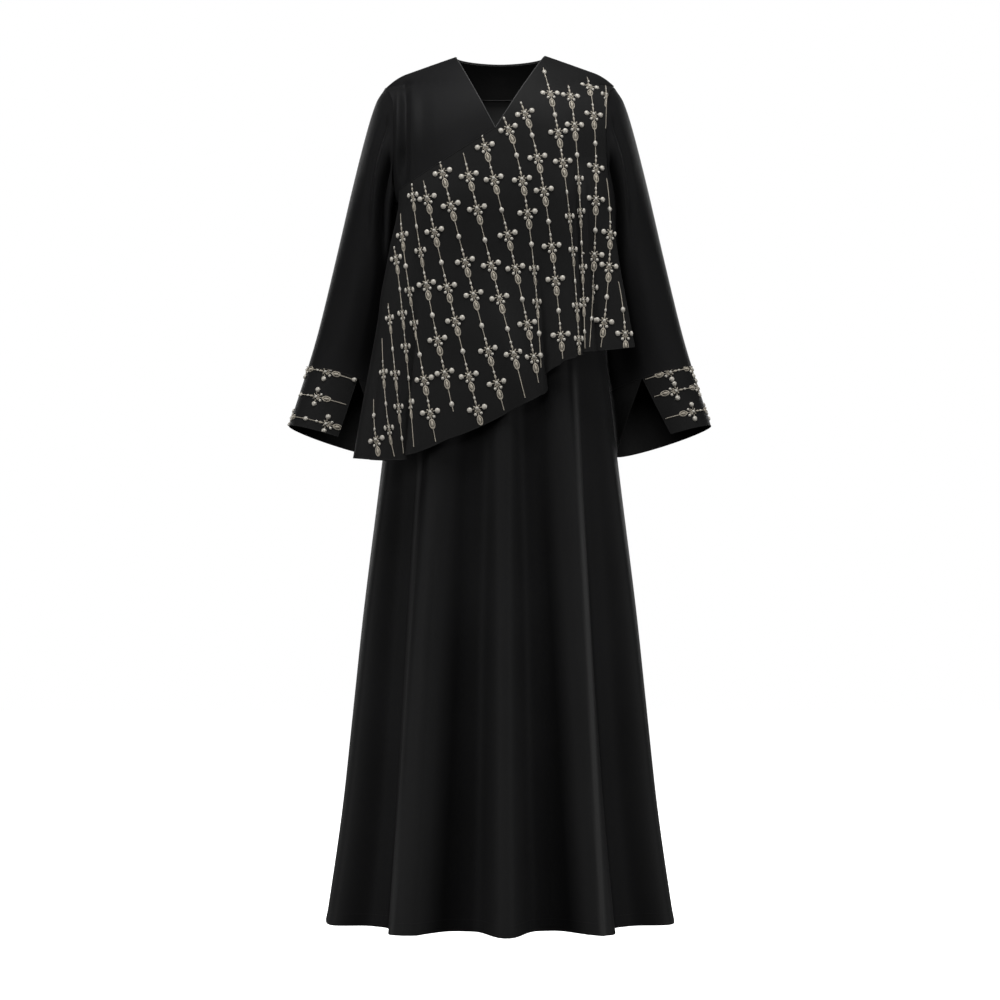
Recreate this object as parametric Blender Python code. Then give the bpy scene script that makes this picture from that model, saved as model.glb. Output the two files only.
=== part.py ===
"""Pull-on abaya with an embroidered overlay, in the open shape it has when worn.

The cloth is eight thin walls: a front and a back with a V neck, an overlay that
hangs from one shoulder across the front, two wide sleeves, two slit cuffs and a
facing inside the back of the neck.

Metres, +Z up, +X to the wearer's left, and the front faces -Y. The origin is
midway between the two points where the shoulder seams meet the neck. A drop is
a distance down from that level. A turn is an angle across a panel, from -90 at
its right side seam, through 0 at its middle, to 90 at its left side seam.
"""

import math
from collections import namedtuple

import bpy
from mathutils import Vector

# Cloth and seams
WALL = 0.002
FACING_WALL = 0.0015
SEAM_GAP = 0.0003
SLEEVE_GAP = 0.0005
LAYER_GAP = 0.0012

# Body, neck and shoulders
HEM_DROP = 1.393
UNDERARM_DROP = 0.240
NECK_HALF = 0.073
V_BOTTOM_X = -0.007
V_BOTTOM_DROP = 0.129
BACK_NECK_DIP = 0.0044
SHOULDER_HALF = 0.184
SHOULDER_SLOPE = 0.352
SHOULDER_ROUND_FROM = 0.150
SHOULDER_ROUNDING = 9.2
NECK_RISE_ROUND = 0.020
ARMHOLE_REACH = 0.072
ARMHOLE_EASE_DROP = 0.050
CHEST_SQUARENESS = 3.0
HIP_SQUARENESS = 2.0
HIP_DROP = 0.560
FRONT_ROLL = 0.130
BACK_ROLL = 0.120
ROUND_BOW = 0.5
ARMHOLE_FLATNESS = 0.5

# Steps that settle where a column meets an upper edge or a hem
EDGE_STEPS = 12

# Skirt folds grow from this drop down to the hem
FOLDS_FROM_DROP = 0.380
FOLD_GROWTH = 1.1

# Facing inside the back neck, as columns past the neck's corners and rows down from its edge
FACING_EXTRA_COLUMNS = 1
FACING_ROWS = 3

# Overlay: where its slanted upper edge meets the right armhole
OVERLAY_CORNER_X = -0.157
OVERLAY_CORNER_DROP = 0.2235
OVERLAY_END_TURN = 81.0
OVERLAY_SPLIT_EXTRA = 0.120
OVERLAY_HANG_LIFT = 0.011
OVERLAY_HANG_LENGTH = 0.360

# Cuff bands: place along the sleeve, and the slit's edges as angles round the sleeve
CUFF_FROM = 0.82
CUFF_FRONT_RISE = 0.008
SLIT_TOP_ANGLE = 99.3
SLIT_TOP_HALF = 0.7
SLIT_FRONT_SWING = 16.3
SLIT_BACK_SWING = 50.0
SLIT_BACK_CURL = 16.0

# Faces along and across each piece
ROWS_BELOW_ARMHOLE = 11
ROWS_AT_ARMHOLE = 10
FRONT_SIDE_COLUMNS = 12
FRONT_NECK_COLUMNS = 5
BACK_SIDE_COLUMNS = 11
BACK_NECK_COLUMNS = 4
OVERLAY_RIGHT_COLUMNS = 11
OVERLAY_ROWS_BELOW = 6
SLEEVE_ROWS = 11
CUFF_COLUMNS = 18
CUFF_ROWS = 4
NECK_CROWDING = 1.6
SLEEVE_CROWDING = 1.4

Section = namedtuple("Section", "drop half_width front_depth back_depth side_y")
BODY = [
    Section(0.030, 0.1845, 0.085, 0.083, 0.000),
    Section(0.050, 0.1840, 0.088, 0.085, 0.000),
    Section(0.066, 0.1755, 0.093, 0.088, 0.000),
    Section(0.085, 0.1700, 0.098, 0.090, 0.000),
    Section(0.150, 0.1680, 0.109, 0.095, 0.000),
    Section(0.240, 0.1700, 0.118, 0.096, 0.000),
    Section(0.360, 0.1640, 0.112, 0.086, 0.000),
    Section(0.475, 0.1705, 0.116, 0.103, 0.000),
    Section(0.636, 0.1880, 0.124, 0.125, 0.005),
    Section(0.890, 0.2200, 0.141, 0.146, 0.016),
    Section(1.051, 0.2375, 0.151, 0.158, 0.023),
    Section(1.212, 0.2555, 0.160, 0.168, 0.031),
    Section(1.373, 0.2790, 0.169, 0.178, 0.039),
    Section(1.393, 0.2830, 0.170, 0.179, 0.040),
]

# Crests and hollows round the hem, by their turn, with how far each stands out there
Fold = namedtuple("Fold", "turn out")
FRONT_FOLDS = [
    Fold(-90.0, 0.000),
    Fold(-70.0, 0.008),
    Fold(-45.0, -0.026),
    Fold(-28.0, 0.026),
    Fold(-13.0, -0.026),
    Fold(0.5, 0.026),
    Fold(15.5, -0.028),
    Fold(29.0, 0.029),
    Fold(43.0, -0.026),
    Fold(70.0, 0.008),
    Fold(90.0, 0.000),
]
BACK_FOLDS = [
    Fold(-90.0, 0.000),
    Fold(-74.0, 0.010),
    Fold(-56.0, -0.020),
    Fold(-38.0, 0.022),
    Fold(-20.0, -0.022),
    Fold(-3.0, 0.024),
    Fold(14.0, -0.024),
    Fold(34.0, 0.020),
    Fold(53.0, -0.022),
    Fold(72.0, 0.010),
    Fold(90.0, 0.000),
]

# The overlay's free sides: how far they stand beyond the body's width, and forward of its seam
Side = namedtuple("Side", "drop beyond reach")
OVERLAY_LEFT = [
    Side(0.145, 0.0000, 0.072),
    Side(0.187, 0.0006, 0.073),
    Side(0.240, 0.0045, 0.077),
    Side(0.294, 0.0133, 0.084),
    Side(0.342, 0.0225, 0.089),
    Side(0.398, 0.0310, 0.094),
    Side(0.474, 0.0386, 0.100),
]
OVERLAY_RIGHT = [
    Side(0.129, -0.0110, 0.076),
    Side(0.224, -0.0125, 0.076),
    Side(0.256, -0.0105, 0.079),
    Side(0.317, 0.0052, 0.082),
    Side(0.385, 0.0163, 0.085),
    Side(0.431, 0.0175, 0.087),
    Side(0.649, 0.0287, 0.092),
]

# The overlay's hem across the front, from the wearer's right to left
HemPoint = namedtuple("HemPoint", "x drop")
OVERLAY_HEM = [
    HemPoint(-0.218, 0.649),
    HemPoint(-0.159, 0.650),
    HemPoint(-0.098, 0.626),
    HemPoint(-0.037, 0.602),
    HemPoint(0.007, 0.580),
    HemPoint(0.062, 0.546),
    HemPoint(0.078, 0.517),
    HemPoint(0.100, 0.498),
    HemPoint(0.131, 0.4825),
    HemPoint(0.161, 0.479),
    HemPoint(0.209, 0.474),
]

# Folds hanging in the overlay, as x where each starts and x at the overlay's hem
Hang = namedtuple("Hang", "top_x top_drop hem_x hem_drop spread_right spread_left out")
OVERLAY_FOLDS = [
    Hang(-0.140, 0.235, -0.178, 0.650, 0.022, 0.018, 0.008),
    Hang(-0.118, 0.260, -0.150, 0.650, 0.018, 0.016, -0.009),
    Hang(-0.020, 0.330, 0.046, 0.560, 0.040, 0.016, 0.009),
    Hang(0.060, 0.300, 0.070, 0.540, 0.012, 0.026, -0.012),
    Hang(0.115, 0.200, 0.125, 0.480, 0.020, 0.018, 0.008),
    Hang(0.140, 0.200, 0.150, 0.480, 0.014, 0.016, -0.009),
]

# Rings along a sleeve, with the outer line from the shoulder and the inner from the underarm
Ring = namedtuple("Ring", "run outer_x outer_drop inner_x inner_drop middle_y half_depth")
SLEEVE = [
    Ring(0.00, 0.1840, 0.0500, 0.1700, 0.2400, 0.000, 0.072),
    Ring(0.06, 0.1980, 0.0770, 0.1730, 0.2640, 0.004, 0.069),
    Ring(0.14, 0.2120, 0.1190, 0.1706, 0.2930, 0.010, 0.065),
    Ring(0.30, 0.2360, 0.2090, 0.1665, 0.3500, 0.022, 0.060),
    Ring(0.50, 0.2630, 0.3200, 0.1670, 0.4250, 0.036, 0.056),
    Ring(0.70, 0.2915, 0.4340, 0.1715, 0.5000, 0.046, 0.053),
    Ring(0.82, 0.3104, 0.4985, 0.1765, 0.5410, 0.049, 0.052),
    Ring(1.00, 0.3412, 0.5935, 0.1900, 0.6410, 0.049, 0.054),
]
ARMHOLE_BLEND = 0.20

Finish = namedtuple("Finish", "red green blue roughness")
CREPE = Finish(0.012, 0.012, 0.013, 0.72)
OVERLAY_CREPE = Finish(0.016, 0.016, 0.016, 0.68)
FACING_CLOTH = Finish(0.008, 0.008, 0.008, 0.80)


def along(table, column, place):
    """Read a column at a place between a table's rows, on a smooth curve through them."""
    places = [row[0] for row in table]
    values = [getattr(row, column) for row in table]
    last = len(table) - 1
    if place <= places[0]:
        return values[0]
    if place >= places[last]:
        return values[last]
    low = max(index for index in range(last) if places[index] <= place)
    high = low + 1
    before = max(low - 1, 0)
    after = min(high + 1, last)
    span = places[high] - places[low]
    low_slope = (values[high] - values[before]) / (places[high] - places[before]) * span
    high_slope = (values[after] - values[low]) / (places[after] - places[low]) * span
    part = (place - places[low]) / span
    rise = values[high] - values[low]
    curve = part * part * (3.0 - 2.0 * part)
    lead_in = part * (1.0 - part) ** 2
    lead_out = part * part * (part - 1.0)
    return values[low] + rise * curve + low_slope * lead_in + high_slope * lead_out


def ease(part):
    """Go from 0 to 1 with a soft start and a soft stop."""
    held = min(max(part, 0.0), 1.0)
    return held * held * (3.0 - 2.0 * held)


def shoulder_drop(x):
    """Drop of the shoulder line, which rounds over at the shoulder point."""
    rounded = math.hypot(x, NECK_RISE_ROUND) - NECK_HALF
    over = max(abs(x) - SHOULDER_ROUND_FROM, 0.0)
    return SHOULDER_SLOPE * rounded + SHOULDER_ROUNDING * over * over


SHOULDER_TIP_DROP = shoulder_drop(SHOULDER_HALF)


def shoulder_roll(x, drop, roll):
    """How much of its full depth the body has, this far below the shoulder line."""
    below = min(max((drop - shoulder_drop(x)) / roll, 0.0), 1.0)
    return math.sqrt(1.0 - (1.0 - below) ** 2)


def armhole_part(drop):
    """Place up the armhole, from 0 at the underarm to 1 at the shoulder point."""
    up = (UNDERARM_DROP - drop) / (UNDERARM_DROP - SHOULDER_TIP_DROP)
    return min(max(up, 0.0), 1.0)


def armhole_reach(drop):
    """How far the armhole's edge stands from the side seam's plane."""
    up = armhole_part(drop)
    return ARMHOLE_REACH * 2.0 * math.sqrt(up * (1.0 - up))


def fold_out(folds, turn, drop):
    """How far a skirt fold stands out of the plain A-line here."""
    low = max(index for index in range(len(folds) - 1) if folds[index].turn <= turn)
    first = folds[low]
    second = folds[low + 1]
    part = ease((turn - first.turn) / (second.turn - first.turn))
    out = first.out + (second.out - first.out) * part
    grown = max(drop - FOLDS_FROM_DROP, 0.0) / (HEM_DROP - FOLDS_FROM_DROP)
    return out * grown**FOLD_GROWTH


def panel_point(turn, drop, half_width, depth, edge_reach, side_y, out, facing_y):
    """Point of a front (facing_y -1) or back (facing_y 1) at a turn and a drop."""
    sine = math.sin(math.radians(turn))
    cosine = max(math.cos(math.radians(turn)), 0.0)
    waist = ease((drop - UNDERARM_DROP) / (HIP_DROP - UNDERARM_DROP))
    squareness = CHEST_SQUARENESS + (HIP_SQUARENESS - CHEST_SQUARENESS) * waist
    at_armhole = ease((UNDERARM_DROP - drop) / ARMHOLE_EASE_DROP)
    bow = max(1.0 - abs(sine) ** squareness, 0.0) ** (ROUND_BOW + ARMHOLE_FLATNESS * at_armhole)
    reach = edge_reach + (depth - edge_reach) * bow
    across = depth * sine
    ahead = half_width * cosine
    size = math.hypot(across, ahead)
    x = half_width * sine + out * across / size
    y = side_y + facing_y * (reach + out * ahead / size)
    return Vector((x, y, -drop))


def front_point(turn, drop):
    """Point on the outside of the front panel."""
    half_width = along(BODY, "half_width", drop)
    x = half_width * math.sin(math.radians(turn))
    depth = along(BODY, "front_depth", drop) * shoulder_roll(x, drop, FRONT_ROLL)
    side_y = along(BODY, "side_y", drop)
    out = fold_out(FRONT_FOLDS, turn, drop)
    edge = min(armhole_reach(drop), depth)
    point = panel_point(turn, drop, half_width, depth, edge, side_y, out, -1.0)
    point.y -= SEAM_GAP / 2
    return point


def back_point(turn, drop):
    """Point on the outside of the back panel."""
    half_width = along(BODY, "half_width", drop)
    x = half_width * math.sin(math.radians(turn))
    depth = along(BODY, "back_depth", drop) * shoulder_roll(x, drop, BACK_ROLL)
    side_y = along(BODY, "side_y", drop)
    out = fold_out(BACK_FOLDS, turn, drop)
    edge = min(armhole_reach(drop), depth)
    point = panel_point(turn, drop, half_width, depth, edge, side_y, out, 1.0)
    point.y += SEAM_GAP / 2
    return point


def v_neck_drop(x):
    """Drop of the V neck's straight edges."""
    far = NECK_HALF if x > V_BOTTOM_X else -NECK_HALF
    return V_BOTTOM_DROP * (far - x) / (far - V_BOTTOM_X)


def back_neck_drop(x):
    """Drop of the back neck, a shallow curve. The roll of the back sets how far behind it lies."""
    return BACK_NECK_DIP * math.sqrt(max(1.0 - (x / NECK_HALF) ** 2, 0.0))


def edge_drop(turn, widths, neck_drop):
    """Drop of a panel's upper edge at a turn: the neck's edge or the shoulder seam."""
    sine = math.sin(math.radians(turn))
    drop = V_BOTTOM_DROP
    for _ in range(EDGE_STEPS):
        x = along(widths, "half_width", drop) * sine
        drop = neck_drop(x) if abs(x) < NECK_HALF else shoulder_drop(x)
    return drop


def spaced(stops, counts):
    """Values from the first stop to the last, evenly spaced between each two stops."""
    values = [stops[0]]
    for low, high, count in zip(stops, stops[1:], counts):
        for step in range(1, count + 1):
            values.append(low + (high - low) * step / count)
    return values


def crowded(first, last, count):
    """Values after the first up to the last, closer together near the first."""
    return [first + (last - first) * (step / count) ** NECK_CROWDING for step in range(1, count + 1)]


def column_drops(hem_drop, split_drop, top_drop, rows_below):
    """Drops from a hem up to a column's upper edge, with the armhole's rows above the split."""
    drops = []
    for row in range(rows_below):
        drops.append(hem_drop + (split_drop - hem_drop) * row / rows_below)
    for row in range(ROWS_AT_ARMHOLE + 1):
        up = (1.0 - math.cos(math.pi * row / ROWS_AT_ARMHOLE)) / 2.0
        drops.append(split_drop + (top_drop - split_drop) * up)
    return drops


def grid_normals(grid, closed):
    """Outward direction at each point of a grid, from its neighbours."""
    normals = []
    last_row = len(grid) - 1
    count = len(grid[0])
    for row, line in enumerate(grid):
        below = grid[max(row - 1, 0)]
        above = grid[min(row + 1, last_row)]
        level = []
        for column in range(count):
            if closed:
                left = line[(column - 1) % count]
                right = line[(column + 1) % count]
            else:
                left = line[max(column - 1, 0)]
                right = line[min(column + 1, count - 1)]
            across = right - left
            upward = above[column] - below[column]
            level.append(across.cross(upward).normalized())
        normals.append(level)
    return normals


def flatten(normal, axis):
    """Take one axis out of a direction, so that two pieces meet face to face there."""
    normal[axis] = 0.0
    normal.normalize()


def wall(name, finish, grid, normals, thickness, closed=False):
    """Make a closed wall of cloth from its outer points and their outward directions.

    Both sides are split along the same diagonals, so layers that lie on each other stay apart.
    """
    rows = len(grid)
    count = len(grid[0])
    outer = [point for line in grid for point in line]
    inner = []
    for line, level in zip(grid, normals):
        for point, normal in zip(line, level):
            inner.append(point - normal * thickness)
    layer = rows * count
    faces = []
    for row in range(rows - 1):
        for column in range(count if closed else count - 1):
            after = (column + 1) % count
            a = row * count + column
            b = row * count + after
            c = (row + 1) * count + after
            d = (row + 1) * count + column
            faces.append((a, b, c))
            faces.append((a, c, d))
            faces.append((layer + c, layer + b, layer + a))
            faces.append((layer + d, layer + c, layer + a))
    rim = []
    bottom = list(range(count))
    top = [(rows - 1) * count + column for column in reversed(range(count))]
    if closed:
        rim.append(bottom + bottom[:1])
        rim.append(top + top[:1])
    else:
        right = [row * count + count - 1 for row in range(rows)]
        left = [row * count for row in reversed(range(rows))]
        rim.append(bottom)
        rim.append(right)
        rim.append(top)
        rim.append(left)
    for path in rim:
        for first, second in zip(path, path[1:]):
            faces.append((second, first, layer + first))
            faces.append((second, layer + first, layer + second))
    mesh = bpy.data.meshes.new(name)
    mesh.from_pydata(outer + inner, [], faces)
    mesh.validate()
    mesh.shade_smooth()
    mesh.set_sharp_from_angle(angle=math.radians(40))
    piece = bpy.data.objects.new(name, mesh)
    bpy.context.collection.objects.link(piece)
    mesh.materials.append(cloth(name + "_cloth", finish))


def cloth(name, finish):
    """A plain cloth material."""
    material = bpy.data.materials.new(name)
    material.use_nodes = True
    shader = material.node_tree.nodes["Principled BSDF"]
    shader.inputs["Base Color"].default_value = (finish.red, finish.green, finish.blue, 1.0)
    shader.inputs["Roughness"].default_value = finish.roughness
    shader.inputs["Metallic"].default_value = 0.0
    return material


def neck_turn():
    """Turn of the column that runs up to the neck's corner on the shoulder."""
    return math.degrees(math.asin(NECK_HALF / SHOULDER_HALF))


def v_turn():
    """Turn of the column that runs up to the bottom of the V."""
    half_width = along(BODY, "half_width", V_BOTTOM_DROP)
    return math.degrees(math.asin(V_BOTTOM_X / half_width))


def side_turns(neck, columns):
    """Turns after the neck's corner out to the side seam."""
    return spaced((neck, OVERLAY_END_TURN, 90.0), (columns, 1))[1:]


def front_turns():
    """Turns of the front's columns, with one at each corner of the neck and one at the V."""
    neck = neck_turn()
    outer = side_turns(neck, FRONT_SIDE_COLUMNS)
    right = [-turn for turn in reversed(outer)]
    to_v = crowded(-neck, v_turn(), FRONT_NECK_COLUMNS)
    from_v = list(reversed(crowded(neck, v_turn(), FRONT_NECK_COLUMNS)))[1:]
    return right + [-neck] + to_v + from_v + [neck] + outer


def back_turns():
    """Turns of the back's columns, with one at each corner of the neck."""
    neck = neck_turn()
    outer = side_turns(neck, BACK_SIDE_COLUMNS)
    inner = crowded(neck, 0.0, BACK_NECK_COLUMNS)
    right = [-turn for turn in reversed(outer)] + [-neck] + [-turn for turn in inner]
    return right + list(reversed(inner))[1:] + [neck] + outer


def body_grid(turns, point_at, neck_drop):
    """Points of the front or the back and their outward directions, hem first."""
    columns = []
    for turn in turns:
        top = edge_drop(turn, BODY, neck_drop)
        drops = column_drops(HEM_DROP, UNDERARM_DROP, top, ROWS_BELOW_ARMHOLE)
        columns.append([point_at(turn, drop) for drop in drops])
    grid = [list(line) for line in zip(*columns)]
    normals = grid_normals(grid, closed=False)
    for row, level in enumerate(normals):
        for end in (0, -1):
            if row <= ROWS_BELOW_ARMHOLE:
                flatten(level[end], 1)
    for column, point in enumerate(grid[-1]):
        if abs(point.x) >= NECK_HALF - SEAM_GAP:
            flatten(normals[-1][column], 1)
    return grid, normals


def front_panel():
    """Front with its V neck."""
    grid, normals = body_grid(front_turns(), front_point, v_neck_drop)
    wall("front_panel", CREPE, grid, normals, WALL)


def back_panel_and_facing():
    """Back with its shallow neck, and the facing from the back's own points moved in."""
    turns = [-turn for turn in back_turns()]
    grid, normals = body_grid(turns, back_point, back_neck_drop)
    wall("back_panel", CREPE, grid, normals, WALL)
    first = BACK_SIDE_COLUMNS + 1 - FACING_EXTRA_COLUMNS
    last = len(turns) - first
    lines = [line[first:last] for line in grid[-1 - FACING_ROWS :]]
    levels = [level[first:last] for level in normals[-1 - FACING_ROWS :]]
    inset = WALL + LAYER_GAP / 2
    moved = []
    for line, level in zip(lines, levels):
        moved.append([point - normal * inset for point, normal in zip(line, level)])
    wall("back_neck_facing", FACING_CLOTH, moved, levels, FACING_WALL)


def overlay_side(turn):
    """The table that gives the overlay's width on this side of the middle."""
    return OVERLAY_LEFT if turn >= 0.0 else OVERLAY_RIGHT


def overlay_width(turn, drop):
    """Half width of the overlay on this side of the middle."""
    return along(BODY, "half_width", drop) + along(overlay_side(turn), "beyond", drop)


def overlay_reach(turn, drop):
    """How far forward the overlay's side edge stands: at the armhole it follows the front's."""
    side = overlay_side(turn)
    if drop < side[0].drop:
        return armhole_reach(drop)
    return along(side, "reach", drop)


def overlay_fold(x, drop):
    """How far a hanging fold stands out of the overlay here."""
    total = 0.0
    for fold in OVERLAY_FOLDS:
        down = (drop - fold.top_drop) / (fold.hem_drop - fold.top_drop)
        middle = fold.top_x + (fold.hem_x - fold.top_x) * down
        spread = fold.spread_left if x > middle else fold.spread_right
        near = max(1.0 - abs(x - middle) / spread, 0.0)
        total += fold.out * ease(near) * ease(down)
    return total


def overlay_lift(drop):
    """How far the overlay's outside stands off the front beneath it."""
    hanging = ease((drop - UNDERARM_DROP) / OVERLAY_HANG_LENGTH)
    return LAYER_GAP + WALL + OVERLAY_HANG_LIFT * hanging


def overlay_point(turn, drop):
    """Point of the front, set wider and flatter for the overlay, before it is moved out."""
    half_width = overlay_width(turn, drop)
    x = half_width * math.sin(math.radians(turn))
    depth = along(BODY, "front_depth", drop) * shoulder_roll(x, drop, FRONT_ROLL)
    edge = min(overlay_reach(turn, drop), depth)
    out = overlay_fold(x, drop)
    point = panel_point(turn, drop, half_width, depth, edge, 0.0, out, -1.0)
    point.y -= SEAM_GAP / 2
    return point


def overlay_top_drop(x):
    """Drop of the overlay's upper edge: the V's left edge, then its slanted edge."""
    if x >= V_BOTTOM_X:
        return v_neck_drop(x)
    part = (V_BOTTOM_X - x) / (V_BOTTOM_X - OVERLAY_CORNER_X)
    return V_BOTTOM_DROP + (OVERLAY_CORNER_DROP - V_BOTTOM_DROP) * min(part, 1.0)


def overlay_edge_drop(turn, upper):
    """Drop of the overlay's upper edge, or of its hem, at a turn."""
    sine = math.sin(math.radians(turn))
    drop = V_BOTTOM_DROP if upper else OVERLAY_HEM[0].drop
    for _ in range(EDGE_STEPS):
        x = overlay_width(turn, drop) * sine
        if not upper:
            drop = along(OVERLAY_HEM, "drop", x)
        elif x > NECK_HALF:
            drop = shoulder_drop(x)
        else:
            drop = overlay_top_drop(x)
    return drop


def overlay_turns():
    """Turns of the overlay's columns, which match the front's on the wearer's left."""
    neck = neck_turn()
    bottom = math.degrees(math.asin(V_BOTTOM_X / overlay_width(-1.0, V_BOTTOM_DROP)))
    right = spaced((-90.0, bottom), (OVERLAY_RIGHT_COLUMNS,))
    from_v = list(reversed(crowded(neck, bottom, FRONT_NECK_COLUMNS)))[1:]
    return right + from_v + [neck] + side_turns(neck, FRONT_SIDE_COLUMNS)[:-1]


def overlay_panel():
    """Overlay from the left shoulder and the V to its free slanted hem."""
    columns = []
    for turn in overlay_turns():
        top = overlay_edge_drop(turn, upper=True)
        hem = overlay_edge_drop(turn, upper=False)
        split = UNDERARM_DROP + OVERLAY_SPLIT_EXTRA * max(-turn / 90.0, 0.0)
        drops = column_drops(hem, split, top, OVERLAY_ROWS_BELOW)
        columns.append([overlay_point(turn, drop) for drop in drops])
    grid = [list(line) for line in zip(*columns)]
    normals = grid_normals(grid, closed=False)
    for column, point in enumerate(grid[-1]):
        if point.x >= NECK_HALF - SEAM_GAP:
            flatten(normals[-1][column], 1)
    moved = []
    for line, level in zip(grid, normals):
        moved.append([p + n * overlay_lift(-p.z) for p, n in zip(line, level)])
    wall("overlay_panel", OVERLAY_CREPE, moved, normals, WALL)


def sleeve_point(run, angle, side):
    """Point on the outside of a sleeve, at an angle from its outer line round by the front."""
    cosine = math.cos(math.radians(angle))
    sine = math.sin(math.radians(angle))
    outer_x = along(SLEEVE, "outer_x", run)
    inner_x = along(SLEEVE, "inner_x", run)
    outer_drop = along(SLEEVE, "outer_drop", run)
    inner_drop = along(SLEEVE, "inner_drop", run)
    x = (outer_x + inner_x) / 2 + (outer_x - inner_x) / 2 * cosine
    drop = (outer_drop + inner_drop) / 2 + (outer_drop - inner_drop) / 2 * cosine
    y = along(SLEEVE, "middle_y", run) - along(SLEEVE, "half_depth", run) * sine
    start_drop = (SHOULDER_TIP_DROP + UNDERARM_DROP) / 2
    start_drop += (SHOULDER_TIP_DROP - UNDERARM_DROP) / 2 * cosine
    start_middle = (SLEEVE[0].outer_x + SLEEVE[0].inner_x) / 2
    start_x = start_middle + (SLEEVE[0].outer_x - SLEEVE[0].inner_x) / 2 * cosine
    fade = max(1.0 - run / ARMHOLE_BLEND, 0.0) ** 2
    x += (along(BODY, "half_width", start_drop) - start_x) * fade + SLEEVE_GAP
    drop -= CUFF_FRONT_RISE * sine * ease(run / CUFF_FROM)
    return Vector((side * x, y, -drop))


def side_name(piece, side):
    """Name a piece of a pair by the wearer's side."""
    return piece + ("_left" if side > 0 else "_right")


def ordered(line, side):
    """Keep the points going the same way round on both sides, so that faces point out."""
    return line if side < 0 else list(reversed(line))


def sleeve(side):
    """Sleeve from the armhole to the cuff band."""
    segments = 2 * ROWS_AT_ARMHOLE
    end = CUFF_FROM - SEAM_GAP
    grid = []
    for row in range(SLEEVE_ROWS + 1):
        run = end * (row / SLEEVE_ROWS) ** SLEEVE_CROWDING
        line = [sleeve_point(run, 360.0 * step / segments, side) for step in range(segments)]
        grid.append(ordered(line, side))
    normals = grid_normals(grid, closed=True)
    for normal in normals[0]:
        flatten(normal, 0)
    wall(side_name("sleeve", side), CREPE, grid, normals, WALL, closed=True)


def cuff(side):
    """Cuff band whose slit hangs open as a wedge at the front, on the side of the body."""
    start = CUFF_FROM + SEAM_GAP
    grid = []
    for row in range(CUFF_ROWS + 1):
        down = row / CUFF_ROWS
        run = start + (1.0 - start) * down
        back_edge = SLIT_TOP_ANGLE + SLIT_TOP_HALF + SLIT_BACK_SWING * down + SLIT_BACK_CURL * down**2
        front_edge = 360.0 + SLIT_TOP_ANGLE - SLIT_TOP_HALF - SLIT_FRONT_SWING * down
        angles = spaced((back_edge, front_edge), (CUFF_COLUMNS,))
        line = [sleeve_point(run, angle, side) for angle in angles]
        grid.append(ordered(line, side))
    normals = grid_normals(grid, closed=False)
    wall(side_name("cuff", side), OVERLAY_CREPE, grid, normals, WALL)


def main():
    for old in list(bpy.data.objects):
        bpy.data.objects.remove(old)
    front_panel()
    back_panel_and_facing()
    overlay_panel()
    for side in (-1, 1):
        sleeve(side)
        cuff(side)


main()
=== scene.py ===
"""Abaya with an embroidered overlay, dressed for its photograph.

Metres, +Z up, +X to the wearer's left, and the front faces -Y. A drop is a distance
down from the neck ends of the shoulder seams. A turn is an angle across a panel, from
-90 at its right side seam to 90 at its left. An angle round a sleeve is 0 on its outer
line, 90 at its front, 180 on its inner line and 270 at its back.
"""

import math
from collections import namedtuple

import bpy
import numpy as np
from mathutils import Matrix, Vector
from mathutils.bvhtree import BVHTree


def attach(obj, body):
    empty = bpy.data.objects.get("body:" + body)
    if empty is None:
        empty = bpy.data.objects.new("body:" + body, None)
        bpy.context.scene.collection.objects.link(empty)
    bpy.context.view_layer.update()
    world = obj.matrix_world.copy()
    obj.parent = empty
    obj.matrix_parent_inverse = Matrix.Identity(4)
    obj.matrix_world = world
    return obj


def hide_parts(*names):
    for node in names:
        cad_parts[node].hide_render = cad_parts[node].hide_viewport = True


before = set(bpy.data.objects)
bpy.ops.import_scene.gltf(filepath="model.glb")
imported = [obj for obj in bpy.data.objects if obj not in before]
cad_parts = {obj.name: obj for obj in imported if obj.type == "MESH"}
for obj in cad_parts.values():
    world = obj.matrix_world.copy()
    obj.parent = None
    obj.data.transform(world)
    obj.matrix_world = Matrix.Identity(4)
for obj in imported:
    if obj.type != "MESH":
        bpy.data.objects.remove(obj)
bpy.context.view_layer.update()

# Cloth and seams
WALL = 0.0016
FACING_WALL = 0.0012
SEAM_GAP = 0.0001
SLEEVE_GAP = 0.0005
LAYER_GAP = 0.0006
BODY_WALL_IN_CAD = 0.002
SEAM_SINK = 0.0008
SLEEVE_OUT = 0.002
SLEEVE_OUT_BY = 0.05
SEAM_WIDTH = 0.0045

# Body, neck and shoulders
HEM_DROP = 1.393
UNDERARM_DROP = 0.240
NECK_HALF = 0.073
V_BOTTOM_X = -0.007
V_BOTTOM_DROP = 0.129
BACK_NECK_DIP = 0.0044
SHOULDER_HALF = 0.184
SHOULDER_SLOPE = 0.352
SHOULDER_ROUND_FROM = 0.150
SHOULDER_ROUNDING = 9.2
NECK_RISE_ROUND = 0.020
ARMHOLE_REACH = 0.072
ARMHOLE_EASE_DROP = 0.075
CHEST_SQUARENESS = 3.0
HIP_SQUARENESS = 2.0
HIP_DROP = 0.560
FRONT_ROLL = 0.130
BACK_ROLL = 0.120
ROUND_BOW = 0.5
ARMHOLE_FLATNESS = 0.5
EDGE_STEPS = 12

# Skirt folds grow from this drop down to the hem
FOLDS_FROM_DROP = 0.420
FOLD_GROWTH = 0.70
CREST_NARROWNESS = 1.7
# Painted highlight: how much paler the crests of the skirt's folds are painted, growing with the folds
PAINTED_CREST_HIGHLIGHT = 0.34

# Overlay
OVERLAY_CORNER_X = -0.157
OVERLAY_CORNER_DROP = 0.2235
OVERLAY_END_TURN = 81.0
OVERLAY_SPLIT_EXTRA = 0.120
OVERLAY_HANG_LIFT = 0.011
OVERLAY_HANG_LENGTH = 0.360

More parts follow.
